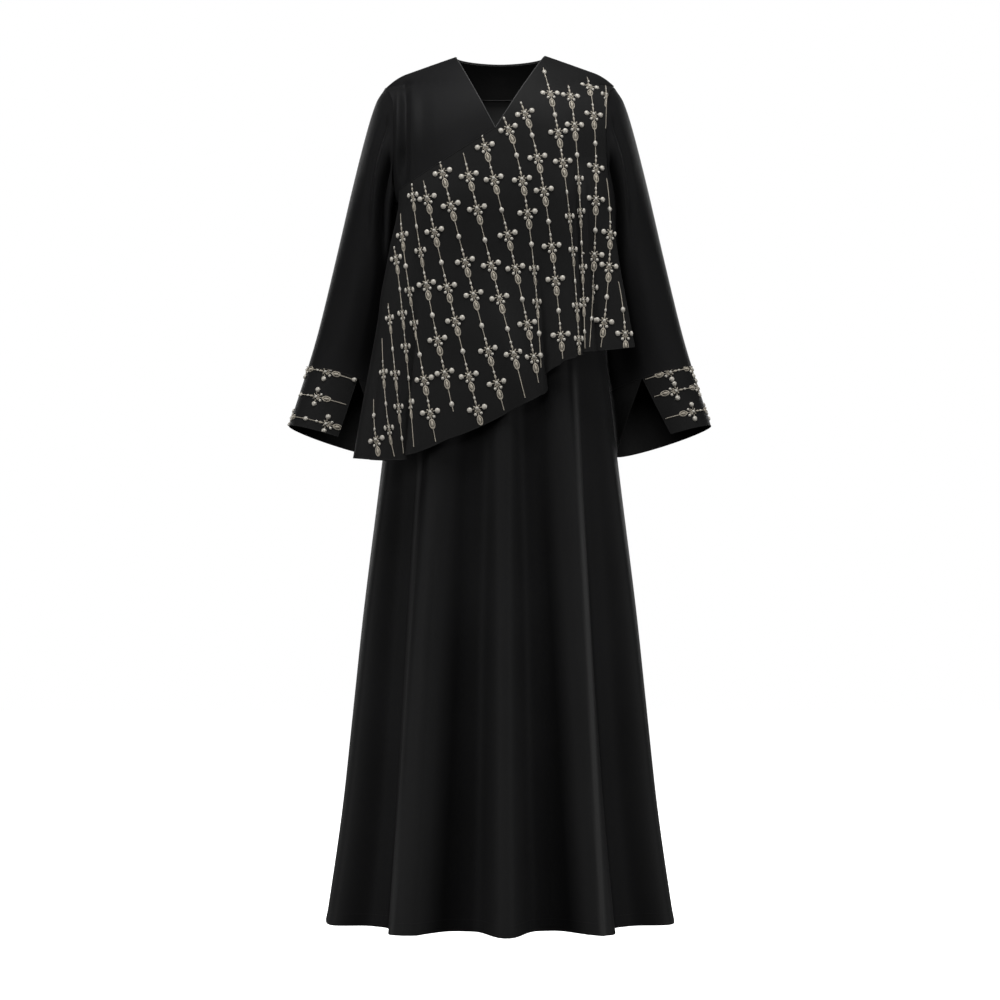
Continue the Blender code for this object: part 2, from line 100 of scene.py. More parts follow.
# Cuff bands and their slits
CUFF_FROM = 0.82
CUFF_FRONT_RISE = 0.008
SLIT_TOP_ANGLE = 103.5
SLIT_TOP_HALF = 0.7
SLIT_FRONT_SWING_RIGHT = 8.5
SLIT_FRONT_SWING_LEFT = 19.0
SLIT_BACK_SWING = 46.0
SLIT_BACK_CURL = 16.0

# Faces along and across each sheet
BODY_ROWS_BELOW = 120
BODY_ROWS_ABOVE = 64
SIDE_COLUMNS = 80
NECK_COLUMNS = 22
OVERLAY_ROWS_BELOW = 60
OVERLAY_RIGHT_COLUMNS = 64
SLEEVE_ROWS = 110
SLEEVE_COLUMNS = 112
CUFF_ROWS = 26
CUFF_COLUMNS = 110
NECK_CROWDING = 1.6
SLEEVE_CROWDING = 1.4
FACING_TURNS_PAST_NECK = 5.24
FACING_ROWS_PART = 0.7
SHARP_ANGLE = 55.0

# Threads of the embroidery, hem stitches and rolled edges
CHAIN_POINTS = 140
DIRECTION_REACH = 2
THREAD_LIFT = 0.0003
THREAD_RADIUS = 0.0006
CORD_ROUNDNESS = 1
HEM_STITCH_ROW = 2
HEM_STITCH_SPACING = 0.0040
EDGE_RADIUS = 0.0009
# Rolled edges that take the paler edge cloth, a painted highlight
PAINTED_HIGHLIGHT_EDGES = ("front_panel", "back_panel", "overlay_v", "back_neck_facing")

# Sections of the body from the shoulders down to the hem
Section = namedtuple("Section", "drop half_width front_depth back_depth side_y")
BODY = [
    Section(0.030, 0.1845, 0.085, 0.083, 0.000),
    Section(0.050, 0.1840, 0.088, 0.085, 0.000),
    Section(0.066, 0.1755, 0.093, 0.088, 0.000),
    Section(0.085, 0.1700, 0.098, 0.090, 0.000),
    Section(0.150, 0.1680, 0.109, 0.095, 0.000),
    Section(0.240, 0.1700, 0.118, 0.096, 0.000),
    Section(0.360, 0.1640, 0.112, 0.086, 0.000),
    Section(0.475, 0.1705, 0.116, 0.103, 0.000),
    Section(0.636, 0.1880, 0.124, 0.125, 0.005),
    Section(0.890, 0.2200, 0.141, 0.146, 0.016),
    Section(1.051, 0.2375, 0.151, 0.158, 0.023),
    Section(1.212, 0.2555, 0.160, 0.168, 0.031),
    Section(1.373, 0.2790, 0.169, 0.178, 0.039),
    Section(1.393, 0.2830, 0.170, 0.179, 0.040),
]

# Crests and hollows round the hem: how far each stands out, and how steep the cloth is after it
Fold = namedtuple("Fold", "turn out steep")
FRONT_FOLDS = [
    Fold(-90.0, 0.000, 0.0),
    Fold(-68.0, 0.010, 0.0),
    Fold(-49.0, -0.032, 1.0),
    Fold(-31.0, 0.027, 0.3),
    Fold(-12.0, -0.036, 0.3),
    Fold(2.0, 0.029, 0.3),
    Fold(15.5, -0.038, 0.3),
    Fold(33.0, 0.030, 1.0),
    Fold(49.0, -0.030, 0.0),
    Fold(70.0, 0.010, 0.0),
    Fold(90.0, 0.000, 0.0),
]
BACK_FOLDS = [
    Fold(-90.0, 0.000, 0.0),
    Fold(-74.0, 0.010, 0.0),
    Fold(-56.0, -0.020, 0.8),
    Fold(-38.0, 0.022, 0.2),
    Fold(-20.0, -0.022, 0.3),
    Fold(-3.0, 0.024, 0.2),
    Fold(14.0, -0.024, 0.4),
    Fold(34.0, 0.020, 0.8),
    Fold(53.0, -0.022, 0.0),
    Fold(72.0, 0.010, 0.0),
    Fold(90.0, 0.000, 0.0),
]

# The overlay's free sides: how far they stand beyond the body's width, and forward of its seam
Side = namedtuple("Side", "drop beyond reach")
OVERLAY_LEFT = [
    Side(0.145, 0.0000, 0.072),
    Side(0.187, 0.0006, 0.073),
    Side(0.240, 0.0045, 0.077),
    Side(0.294, 0.0133, 0.084),
    Side(0.342, 0.0225, 0.089),
    Side(0.398, 0.0310, 0.094),
    Side(0.474, 0.0386, 0.100),
]
OVERLAY_RIGHT = [
    Side(0.129, -0.0110, 0.076),
    Side(0.224, -0.0125, 0.076),
    Side(0.256, -0.0105, 0.079),
    Side(0.317, 0.0052, 0.082),
    Side(0.385, 0.0163, 0.085),
    Side(0.431, 0.0175, 0.087),
    Side(0.649, 0.0287, 0.092),
]

# The overlay's slanted hem, from the wearer's right to the left
HemPoint = namedtuple("HemPoint", "x drop")
OVERLAY_HEM = [
    HemPoint(-0.218, 0.649),
    HemPoint(-0.159, 0.650),
    HemPoint(-0.098, 0.626),
    HemPoint(-0.037, 0.602),
    HemPoint(0.007, 0.580),
    HemPoint(0.062, 0.546),
    HemPoint(0.078, 0.517),
    HemPoint(0.100, 0.498),
    HemPoint(0.131, 0.4825),
    HemPoint(0.161, 0.479),
    HemPoint(0.209, 0.474),
]

# Folds by where each starts and ends, its width to either side, its height, and where it fades
Crease = namedtuple("Crease", "top_x top_drop end_x end_drop right left out fade_in fade_out")
OVERLAY_CREASES = [
    Crease(-0.140, 0.235, -0.178, 0.650, 0.022, 0.018, 0.008, 0.9, 0.0),
    Crease(-0.118, 0.260, -0.150, 0.650, 0.018, 0.016, -0.009, 0.9, 0.0),
    Crease(-0.132, 0.250, -0.163, 0.650, 0.007, 0.008, 0.003, 0.5, 0.0),
    Crease(-0.020, 0.330, 0.046, 0.560, 0.040, 0.016, 0.009, 0.9, 0.0),
    Crease(0.060, 0.300, 0.070, 0.540, 0.012, 0.026, -0.012, 0.9, 0.0),
    Crease(0.098, 0.190, 0.108, 0.480, 0.014, 0.010, 0.005, 0.5, 0.0),
    Crease(0.115, 0.200, 0.125, 0.480, 0.020, 0.018, 0.004, 0.9, 0.0),
    Crease(0.121, 0.150, 0.127, 0.480, 0.008, 0.008, -0.005, 0.4, 0.0),
    Crease(0.131, 0.170, 0.138, 0.480, 0.006, 0.007, 0.004, 0.5, 0.0),
    Crease(0.140, 0.200, 0.150, 0.480, 0.014, 0.016, -0.007, 0.9, 0.0),
    Crease(-0.070, 0.300, -0.095, 0.640, 0.030, 0.030, -0.003, 0.6, 0.0),
]
FRONT_CREASES = [
    Crease(-0.152, 0.030, -0.152, 0.232, 0.012, 0.012, -0.0090, 0.25, 0.35),
    Crease(-0.160, 0.050, -0.161, 0.225, 0.010, 0.010, 0.0035, 0.30, 0.30),
    Crease(-0.124, 0.050, -0.116, 0.230, 0.014, 0.020, -0.0012, 0.30, 0.50),
    Crease(-0.136, 0.060, -0.136, 0.230, 0.010, 0.014, 0.0012, 0.30, 0.50),
    Crease(-0.060, 0.120, -0.085, 0.260, 0.030, 0.030, 0.0020, 0.50, 0.50),
    Crease(-0.1242, 0.600, -0.1708, 1.393, 0.006, 0.011, 0.0032, 0.15, 0.0),
    Crease(0.1165, 0.480, 0.1610, 1.393, 0.011, 0.006, 0.0036, 0.15, 0.0),
    Crease(-0.1010, 0.640, -0.1300, 1.393, 0.016, 0.012, 0.0030, 0.25, 0.0),
]
BACK_CREASES = [
    Crease(-0.146, 0.030, -0.151, 0.232, 0.013, 0.013, -0.0080, 0.25, 0.35),
    Crease(0.143, 0.034, 0.150, 0.232, 0.014, 0.012, -0.0080, 0.25, 0.35),
    Crease(-0.160, 0.050, -0.160, 0.225, 0.010, 0.010, 0.0030, 0.30, 0.30),
    Crease(0.161, 0.050, 0.159, 0.225, 0.010, 0.010, 0.0030, 0.30, 0.30),
    Crease(-0.105, 0.060, -0.085, 0.300, 0.022, 0.028, -0.0030, 0.30, 0.50),
    Crease(0.100, 0.080, 0.110, 0.320, 0.026, 0.020, -0.0030, 0.30, 0.50),
    Crease(-0.060, 0.330, 0.020, 0.420, 0.020, 0.024, 0.0030, 0.40, 0.60),
]

# Two long folds of the skirt whose edges carry a painted highlight
PaintedHighlight = namedtuple("PaintedHighlight", "top_x top_drop end_x end_drop reach shine")
PAINTED_HIGHLIGHT_FOLDS = [
    PaintedHighlight(-0.1242, 0.600, -0.1708, 1.393, 0.0070, 0.55),
    PaintedHighlight(0.1165, 0.480, 0.1610, 1.393, 0.0075, 1.00),
]
PAINTED_HIGHLIGHT_FADE = 0.08

# Folds of a sleeve by angle round it and place along it
Pleat = namedtuple("Pleat", "top_angle top_run end_angle end_run width out fade_in fade_out")
SLEEVE_PLEATS = [
    Pleat(154.0, 0.010, 144.0, 0.330, 20.0, -0.0120, 0.08, 0.60),
    Pleat(128.0, 0.015, 128.0, 0.330, 14.0, 0.0050, 0.10, 0.60),
    Pleat(104.0, 0.010, 118.0, 0.420, 15.0, -0.0105, 0.10, 0.60),
    Pleat(80.0, 0.015, 98.0, 0.480, 14.0, 0.0045, 0.12, 0.60),
    Pleat(60.0, 0.015, 74.0, 0.360, 14.0, -0.0065, 0.12, 0.60),
    Pleat(132.0, 0.250, 124.0, 0.900, 30.0, -0.0110, 0.30, 0.35),
    Pleat(78.0, 0.330, 76.0, 0.860, 30.0, 0.0030, 0.40, 0.40),
    Pleat(205.0, 0.010, 212.0, 0.300, 22.0, -0.0055, 0.15, 0.60),
    Pleat(236.0, 0.015, 236.0, 0.340, 18.0, 0.0040, 0.15, 0.60),
    Pleat(258.0, 0.020, 246.0, 0.420, 16.0, -0.0055, 0.20, 0.60),
    Pleat(282.0, 0.030, 268.0, 0.460, 20.0, 0.0035, 0.25, 0.60),
    Pleat(306.0, 0.350, 300.0, 0.880, 28.0, -0.0040, 0.40, 0.30),
    Pleat(252.0, 0.400, 250.0, 0.860, 26.0, 0.0040, 0.40, 0.40),
    Pleat(180.0, 0.020, 180.0, 0.460, 34.0, 0.0022, 0.20, 0.40),
]

# Rings along a sleeve, with the outer line from the shoulder and the inner from the underarm
Ring = namedtuple("Ring", "run outer_x outer_drop inner_x inner_drop middle_y half_depth")
SLEEVE = [
    Ring(0.00, 0.1840, 0.0500, 0.1700, 0.2400, 0.000, 0.072),
    Ring(0.06, 0.1980, 0.0770, 0.1700, 0.2640, 0.004, 0.069),
    Ring(0.14, 0.2120, 0.1190, 0.1706, 0.2930, 0.010, 0.065),
    Ring(0.30, 0.2360, 0.2090, 0.1665, 0.3500, 0.022, 0.060),
    Ring(0.50, 0.2630, 0.3200, 0.1670, 0.4250, 0.036, 0.056),
    Ring(0.70, 0.2915, 0.4340, 0.1715, 0.5000, 0.046, 0.053),
    Ring(0.82, 0.3104, 0.4985, 0.1765, 0.5410, 0.049, 0.052),
    Ring(1.00, 0.3412, 0.5935, 0.1900, 0.6410, 0.049, 0.054),
]
ARMHOLE_BLEND = 0.20

# Chains of sprigs on the overlay: three points on each, the drop of one first sprig of a pair,
# and how far the pattern is drawn together over the shoulder
Chain = namedtuple("Chain", "top_x top_drop mid_x mid_drop end_x end_drop first drawn")
OVERLAY_CHAINS = [
    Chain(-0.1980, 0.555, -0.1960, 0.600, -0.1890, 0.643, 0.4787, 0.26),
    Chain(-0.1850, 0.459, -0.1780, 0.566, -0.1650, 0.645, 0.4604, 0.26),
    Chain(-0.1756, 0.404, -0.1640, 0.515, -0.1510, 0.640, 0.5147, 0.26),
    Chain(-0.1660, 0.318, -0.1520, 0.430, -0.1345, 0.630, 0.4201, 0.26),
    Chain(-0.1565, 0.262, -0.1400, 0.400, -0.1004, 0.622, 0.3836, 0.26),
    Chain(-0.1375, 0.229, -0.1160, 0.372, -0.0726, 0.575, 0.3215, 0.26),
    Chain(-0.1200, 0.212, -0.0835, 0.376, -0.0303, 0.592, 0.2387, 0.26),
    Chain(-0.0930, 0.188, -0.0411, 0.392, 0.0063, 0.573, 0.1985, 0.26),
    Chain(-0.0575, 0.169, -0.0139, 0.345, 0.0392, 0.554, 0.2040, 0.26),
    Chain(-0.0265, 0.148, 0.0230, 0.345, 0.0600, 0.530, 0.1570, 0.26),
    Chain(0.0090, 0.121, 0.0430, 0.263, 0.0640, 0.506, 0.2105, 0.26),
    Chain(0.0340, 0.092, 0.0705, 0.240, 0.0985, 0.497, 0.1750, 0.26),
    Chain(0.0690, 0.028, 0.1035, 0.221, 0.1240, 0.483, 0.1290, 0.26),
    Chain(0.0690, 0.026, 0.0705, 0.034, 0.0720, 0.042, 0.0704, 0.00),
    Chain(0.1080, 0.055, 0.1230, 0.200, 0.1330, 0.476, 0.0683, 0.04),
    Chain(0.1395, 0.036, 0.1510, 0.200, 0.1400, 0.474, 0.0480, 0.04),
    Chain(0.1690, 0.048, 0.1690, 0.085, 0.1670, 0.125, 0.0630, 0.04),
    Chain(0.1680, 0.205, 0.1725, 0.320, 0.1580, 0.474, 0.2926, 0.08),
    Chain(0.1860, 0.370, 0.1930, 0.415, 0.1970, 0.473, 0.4518, 0.08),
]
GATHERED_FROM = 0.180
GATHERED_OVER = 0.100

# A chain's repeat: a pair of sprigs and a spacer bead, and the room that they need at its ends
PAIR_STEP = 0.0521
BEAD_STEP = 0.1023
REPEAT = 0.1397
END_ROOM = 0.020
TOP_ROOM = 0.003

# Where folds turn the cloth away and the sprigs lie narrow in them
Tuck = namedtuple("Tuck", "x drop reach_x reach_drop spread")
OVERLAY_TUCKS = [
    Tuck(-0.160, 0.500, 0.026, 0.125, 0.50),
    Tuck(-0.162, 0.320, 0.014, 0.035, 0.70),
    Tuck(-0.131, 0.280, 0.012, 0.060, 0.60),
    Tuck(0.060, 0.375, 0.008, 0.045, 0.50),
    Tuck(0.116, 0.340, 0.016, 0.150, 0.50),
    Tuck(0.140, 0.420, 0.012, 0.060, 0.55),
    Tuck(0.164, 0.085, 0.008, 0.040, 0.60),
]

# Rows of sprigs on a cuff: wearer's side, place down the band, x of one sprig and its place in
# the repeat
CuffRow = namedtuple("CuffRow", "side down sprig_x step")
CUFF_ROWS_OF_SPRIGS = [
    CuffRow(-1, 0.05, 0.2810, PAIR_STEP),
    CuffRow(-1, 0.48, 0.2972, 0.0),
    CuffRow(-1, 0.86, 0.2800, 0.0),
    CuffRow(1, 0.04, 0.2744, PAIR_STEP),
    CuffRow(1, 0.36, 0.2830, PAIR_STEP),
    CuffRow(1, 0.745, 0.3115, PAIR_STEP),
]
CUFF_ROW_START = -84.0
CUFF_ROW_END_SHORT_OF_SLIT = 3.0
CUFF_FRONT_Y = 0.045
CUFF_END_ROOM = 0.014

# Beads, leaves and stitches as half domes on the cloth. Points is how far the two ends are drawn out.
Dome = namedtuple("Dome", "x y half_x half_y height points segments tilt", defaults=(0.0, 8, 0.0))
SPRIG_BEADS = [
    Dome(-0.0118, 0.0002, 0.0042, 0.0043, 0.0034, segments=10),
    Dome(0.0118, -0.0002, 0.0043, 0.0044, 0.0034, segments=10),
    Dome(-0.0048, -0.0088, 0.0024, 0.0025, 0.0024),
    Dome(0.0048, -0.0086, 0.0025, 0.0025, 0.0024),
    Dome(0.0, 0.0, 0.0029, 0.0029, 0.0034),
    Dome(0.0, 0.0168, 0.0019, 0.0029, 0.0024),
]
SPACER_BEAD = Dome(0.0, 0.0, 0.0038, 0.0042, 0.0034, 0.35)
UPPER_LEAF = Dome(0.0, 0.0096, 0.0017, 0.0034, 0.0018, 0.4)
LOWER_LEAF = Dome(0.0, -0.0192, 0.0024, 0.0048, 0.0026, 0.3)
PETAL = Dome(0.0, 0.0042, 0.0013, 0.0023, 0.0016, 0.3, 6)
PETAL_ANGLES = (45.0, 135.0, 225.0, 315.0)
SIDE_STEM = Dome(0.0062, 0.0002, 0.0009, 0.0026, 0.0011, 0.0, 6, math.pi / 2)
LOWER_STEM = Dome(0.0024, -0.0062, 0.0008, 0.0034, 0.0010, 0.0, 6, 0.45)
HEM_STITCH = Dome(0.0, 0.0, 0.00035, 0.0012, 0.00035, 0.0, 6)
DOME_RINGS = 6
DOME_TIP_FROM = 0.98
ORIGIN = (0.0, 0.0, 0.0)

# The stitched ring round the lower leaf
LeafRing = namedtuple("LeafRing", "x y half_x half_y thick lift")
LEAF_RING = LeafRing(0.0, -0.0194, 0.0039, 0.0070, 0.0008, 0.0004)

# Flat size and area of each cut piece, how it is held and what it lies on
Cut = namedtuple("Cut", "node slot width length area held rests")
CUTS = [
    Cut("front_panel", "crepe", 0.94, 1.44, 0.842, "hung", []),
    Cut("back_panel", "crepe", 0.85, 1.44, 0.796, "hung", []),
    Cut("overlay_panel", "overlay_cloth", 0.50, 0.66, 0.196, "draped", ["front_cloth"]),
    Cut("sleeve_right", "crepe", 0.54, 0.47, 0.143, "hung", []),
    Cut("sleeve_left", "crepe", 0.54, 0.47, 0.143, "hung", []),
    Cut("cuff_right", "overlay_cloth", 0.40, 0.134, 0.037, "hung", []),
    Cut("cuff_left", "overlay_cloth", 0.40, 0.134, 0.037, "hung", []),
    Cut("back_neck_facing", "facing_cloth", 0.226, 0.091, 0.0127, "hung", []),
]

# Softboxes, the white room, the floor and the camera
Lamp = namedtuple("Lamp", "name x y z width height power aim_z")
LAMPS = [
    Lamp("left_softbox", -3.1, -1.55, -0.9, 1.0, 2.4, 68.0, -0.9),
    Lamp("right_softbox", 3.1, -1.55, -0.9, 1.0, 2.4, 68.0, -0.9),
    Lamp("front_softbox", -0.4, -3.8, 0.9, 1.4, 1.0, 36.0, -0.3),
    Lamp("back_left_softbox", -2.0, 3.2, 0.2, 1.2, 2.0, 38.0, -0.7),
    Lamp("back_right_softbox", 2.0, 3.2, 0.2, 1.2, 2.0, 38.0, -0.7),
    Lamp("top_softbox", 0.0, -1.1, 2.2, 2.0, 1.2, 125.0, -0.1),
]
WHITE = (1.0, 1.0, 1.0, 1.0)
FLOOR_WHITE = (0.93, 0.93, 0.93, 1.0)
FLOOR_SIZE = 14.0
FLOOR_Z = -1.62
FLOOR_GLOW = 1.0
ROOM_FILL = 0.04
CAMERA_LENS = 93.9
CAMERA_SENSOR = 36.0
CAMERA_AWAY = 4.2
CAMERA_Z = -0.713

# Patterns of the cloth
# Paler colour that a vertex attribute mixes into the cloth: painted highlights and painted light
PAINTED_LIGHT_COLOUR = (0.026, 0.026, 0.026)
ROUGHNESS_SPREAD = 0.05
SLUB_SHARE = 0.35
THREAD_SHARE = 0.25
WEAVE_HEIGHT = 0.0004
STRAND_HEIGHT = 0.0003


def column_of(table, column):
    """A column of a table as numbers."""
    return np.array([getattr(row, column) for row in table], dtype=float)


def along(table, column, place):
    """Read a column at places between a table's rows, on a smooth curve through them."""
    places = np.array([row[0] for row in table], dtype=float)
    values = column_of(table, column)
    slopes = np.empty_like(values)
    slopes[1:-1] = (values[2:] - values[:-2]) / (places[2:] - places[:-2])
    slopes[0] = (values[1] - values[0]) / (places[1] - places[0])
    slopes[-1] = (values[-1] - values[-2]) / (places[-1] - places[-2])
    held = np.clip(place, places[0], places[-1])
    low = np.clip(np.searchsorted(places, held, side="right") - 1, 0, len(places) - 2)
    span = places[low + 1] - places[low]
    part = (held - places[low]) / span
    curve = part * part * (3.0 - 2.0 * part)
    rise = values[low + 1] - values[low]
    lead_in = slopes[low] * span * part * (1.0 - part) ** 2
    lead_out = slopes[low + 1] * span * part * part * (part - 1.0)
    return values[low] + rise * curve + lead_in + lead_out


def ease(part):
    """Go from 0 to 1 with a soft start and a soft stop."""
    held = np.clip(part, 0.0, 1.0)
    return held * held * (3.0 - 2.0 * held)


def shoulder_drop(x):
    """Drop of the shoulder line, which rounds over at the shoulder point."""
    rounded = np.hypot(x, NECK_RISE_ROUND) - NECK_HALF
    over = np.maximum(np.abs(x) - SHOULDER_ROUND_FROM, 0.0)
    return SHOULDER_SLOPE * rounded + SHOULDER_ROUNDING * over * over


SHOULDER_TIP_DROP = float(shoulder_drop(SHOULDER_HALF))


def shoulder_roll(x, drop, roll):
    """How much of its full depth the body has, this far below the shoulder line."""
    below = np.clip((drop - shoulder_drop(x)) / roll, 0.0, 1.0)
    return np.sqrt(1.0 - (1.0 - below) ** 2)


def armhole_reach(drop):
    """How far the armhole's edge stands from the side seam's plane."""
    up = np.clip((UNDERARM_DROP - drop) / (UNDERARM_DROP - SHOULDER_TIP_DROP), 0.0, 1.0)
    return ARMHOLE_REACH * 2.0 * np.sqrt(up * (1.0 - up))


def fold_growth(drop):
    """How far the skirt's folds have grown at a drop, 1 at the hem."""
    grown = np.maximum(drop - FOLDS_FROM_DROP, 0.0) / (HEM_DROP - FOLDS_FROM_DROP)
    return grown**FOLD_GROWTH


def fold_out(folds, turn, drop):
    """How far a skirt fold stands out of the plain A-line here, and its height from hollow to crest."""
    turns = column_of(folds, "turn")
    outs = column_of(folds, "out")
    steeps = column_of(folds, "steep")
    low = np.clip(np.searchsorted(turns, turn, side="right") - 1, 0, len(turns) - 2)
    part = ease((turn - turns[low]) / (turns[low + 1] - turns[low]))
    part = part + (ease(part) - part) * steeps[low]
    hollow = np.minimum(outs[low], outs[low + 1])
    crest = np.maximum(outs[low], outs[low + 1])
    height = np.where(outs[low + 1] > outs[low], part, 1.0 - part) ** CREST_NARROWNESS
    return (hollow + (crest - hollow) * height) * fold_growth(drop), height


def crease_out(creases, x, drop):
    """How far the creases stand out of a panel at a place across and down it."""
    total = np.zeros_like(x)
    for crease in creases:
        down = (drop - crease.top_drop) / (crease.end_drop - crease.top_drop)
        middle = crease.top_x + (crease.end_x - crease.top_x) * down
        spread = np.where(x > middle, crease.left, crease.right)
        near = ease(1.0 - np.abs(x - middle) / spread)
        strength = ease(down / crease.fade_in)
        if crease.fade_out:
            strength = strength * ease((1.0 - down) / crease.fade_out)
        total += crease.out * near * strength
    return total


def painted_fold_highlight(x, drop):
    """How much painted highlight the front's cloth takes along two fold edges, from 0 to 1."""
    total = np.zeros_like(x)
    for fold in PAINTED_HIGHLIGHT_FOLDS:
        down = (drop - fold.top_drop) / (fold.end_drop - fold.top_drop)
        middle = fold.top_x + (fold.end_x - fold.top_x) * down
        total += fold.shine * ease(1.0 - np.abs(x - middle) / fold.reach) * ease(down / PAINTED_HIGHLIGHT_FADE)
    return total


def painted_crest_highlight(folds, turns, drop):
    """How much painted highlight the cloth takes along the crests of the skirt's folds."""
    height = fold_out(folds, np.broadcast_to(turns, drop.shape), drop)[1]
    return PAINTED_CREST_HIGHLIGHT * height**2 * fold_growth(drop)


def pleat_out(pleats, angle, run):
    """How far the folds stand out of a sleeve at an angle round it and a place along it."""
    total = np.zeros_like(angle)
    for pleat in pleats:
        down = (run - pleat.top_run) / (pleat.end_run - pleat.top_run)
        middle = pleat.top_angle + (pleat.end_angle - pleat.top_angle) * down
        away = np.abs((angle - middle + 180.0) % 360.0 - 180.0)
        strength = ease(down / pleat.fade_in) * ease((1.0 - down) / pleat.fade_out)
        total += pleat.out * ease(1.0 - away / pleat.width) * strength
    return total


def panel_point(turn, drop, half_width, depth, edge_reach, side_y, out, facing_y):
    """Points of a front (facing_y -1) or back (facing_y 1) at turns and drops."""
    sine = np.sin(np.radians(turn))
    cosine = np.maximum(np.cos(np.radians(turn)), 0.0)
    waist = ease((drop - UNDERARM_DROP) / (HIP_DROP - UNDERARM_DROP))
    squareness = CHEST_SQUARENESS + (HIP_SQUARENESS - CHEST_SQUARENESS) * waist
    at_armhole = ease((UNDERARM_DROP - drop) / ARMHOLE_EASE_DROP)
    power = ROUND_BOW + ARMHOLE_FLATNESS * at_armhole
    bow = np.maximum(1.0 - np.abs(sine) ** squareness, 0.0) ** power
    reach = edge_reach + (depth - edge_reach) * bow
    across = depth * sine
    ahead = half_width * cosine
    size = np.hypot(across, ahead)
    x = half_width * sine + out * across / size
    y = side_y + facing_y * (reach + out * ahead / size + SEAM_GAP / 2)
    return np.stack([x, y, -drop], axis=-1)


def body_point(turn, drop, folds, depth_column, roll, facing_y):
    """Points on the outside of the front or the back."""
    half_width = along(BODY, "half_width", drop)
    x = half_width * np.sin(np.radians(turn))
    depth = along(BODY, depth_column, drop) * shoulder_roll(x, drop, roll)
    out = fold_out(folds, turn, drop)[0]
    edge = np.minimum(armhole_reach(drop), depth)
    side_y = along(BODY, "side_y", drop)
    return panel_point(turn, drop, half_width, depth, edge, side_y, out, facing_y)


def front_point(turn, drop):
    """Points on the outside of the front."""
    return body_point(turn, drop, FRONT_FOLDS, "front_depth", FRONT_ROLL, -1.0)


def back_point(turn, drop):
    """Points on the outside of the back."""
    return body_point(turn, drop, BACK_FOLDS, "back_depth", BACK_ROLL, 1.0)


def v_neck_drop(x):
    """Drop of the V neck's straight edges."""
    far = np.where(x > V_BOTTOM_X, NECK_HALF, -NECK_HALF)
    return V_BOTTOM_DROP * (far - x) / (far - V_BOTTOM_X)


def back_neck_drop(x):
    """Drop of the back neck, a shallow curve. The roll of the back sets how far behind it lies."""
    return BACK_NECK_DIP * np.sqrt(np.maximum(1.0 - (x / NECK_HALF) ** 2, 0.0))


def edge_drop(turn, neck_drop):
    """Drop of a panel's upper edge at turns: the neck's edge or the shoulder seam."""
    sine = np.sin(np.radians(turn))
    drop = np.full_like(turn, V_BOTTOM_DROP)
    for _ in range(EDGE_STEPS):
        x = along(BODY, "half_width", drop) * sine
        drop = np.where(np.abs(x) < NECK_HALF, neck_drop(x), shoulder_drop(x))
    return drop


def crowded(first, last, count):
    """Values after the first up to the last, closer together near the first."""
    steps = np.arange(1, count + 1) / count
    return first + (last - first) * steps**NECK_CROWDING


def column_drops(hem, split, top, rows_below, rows_above):
    """Drops from a hem up to an upper edge for every column, one row of them to a line."""
    hem = np.broadcast_to(hem, top.shape)
    low = np.arange(rows_below)[:, None] / rows_below
    high = np.arange(rows_above + 1)[:, None] / rows_above
    up = (1.0 - np.cos(math.pi * high)) / 2.0
    return np.vstack([hem + (split - hem) * low, split + (top - split) * up])


def grid_normals(grid, closed):
    """Outward directions of a grid of points, from each point's neighbours."""
    if closed:
        across = np.roll(grid, -1, axis=1) - np.roll(grid, 1, axis=1)
    else:
        across = np.empty_like(grid)
        across[:, 1:-1] = grid[:, 2:] - grid[:, :-2]
        across[:, 0] = grid[:, 1] - grid[:, 0]
        across[:, -1] = grid[:, -1] - grid[:, -2]
    upward = np.empty_like(grid)
    upward[1:-1] = grid[2:] - grid[:-2]
    upward[0] = grid[1] - grid[0]
    upward[-1] = grid[-1] - grid[-2]
    normals = np.cross(across, upward)
    return normals / np.linalg.norm(normals, axis=-1, keepdims=True)


def flatten(normals, axis):
    """Take one axis out of directions, so that two pieces meet face to face there."""
    normals[..., axis] = 0.0
    normals /= np.linalg.norm(normals, axis=-1, keepdims=True)


def flatten_sides(normals):
    """Let the front and the back meet face to face along the side seams."""
    for end in (0, -1):
        flatten(normals[: BODY_ROWS_BELOW + 1, end], 1)


def flatten_shoulder(normals, on_shoulder):
    """Let a panel's upper edge meet its neighbour face to face along the shoulder seam."""
    shoulder = normals[-1, on_shoulder]
    flatten(shoulder, 1)
    normals[-1, on_shoulder] = shoulder


def grid_lengths(grid, closed):
    """Real lengths across and along a grid, for the weave."""
    across = np.linalg.norm(np.diff(grid, axis=1), axis=-1)
    upward = np.linalg.norm(np.diff(grid, axis=0), axis=-1)
    u = np.concatenate([np.zeros((len(grid), 1)), np.cumsum(across, axis=1)], axis=1)
    v = np.concatenate([np.zeros((1, grid.shape[1])), np.cumsum(upward, axis=0)], axis=0)
    if not closed:
        u = u - u[:, grid.shape[1] // 2][:, None]
    return np.stack([u, v], axis=-1)


# A sheet's mesh, the points of its outside as a grid, and that outside to lay stitches and beads on
Sheet = namedtuple("Sheet", "piece grid tree")


def make_mesh(name, points, faces, material):
    """A smooth mesh object from points and faces."""
    mesh = bpy.data.meshes.new(name)
    mesh.from_pydata([tuple(point) for point in points], [], faces)
    mesh.validate()
    mesh.shade_smooth()
    piece = bpy.data.objects.new(name, mesh)
    bpy.context.collection.objects.link(piece)
    mesh.materials.append(material)
    return piece


def grid_faces(rows, count, closed, start, flip):
    """Four-sided faces between the points of a grid."""
    faces = []
    for row in range(rows - 1):
        for column in range(count if closed else count - 1):
            after = (column + 1) % count
            a = start + row * count + column
            b = start + row * count + after
            c = start + (row + 1) * count + after
            d = start + (row + 1) * count + column
            faces.append((d, c, b, a) if flip else (a, b, c, d))
    return faces


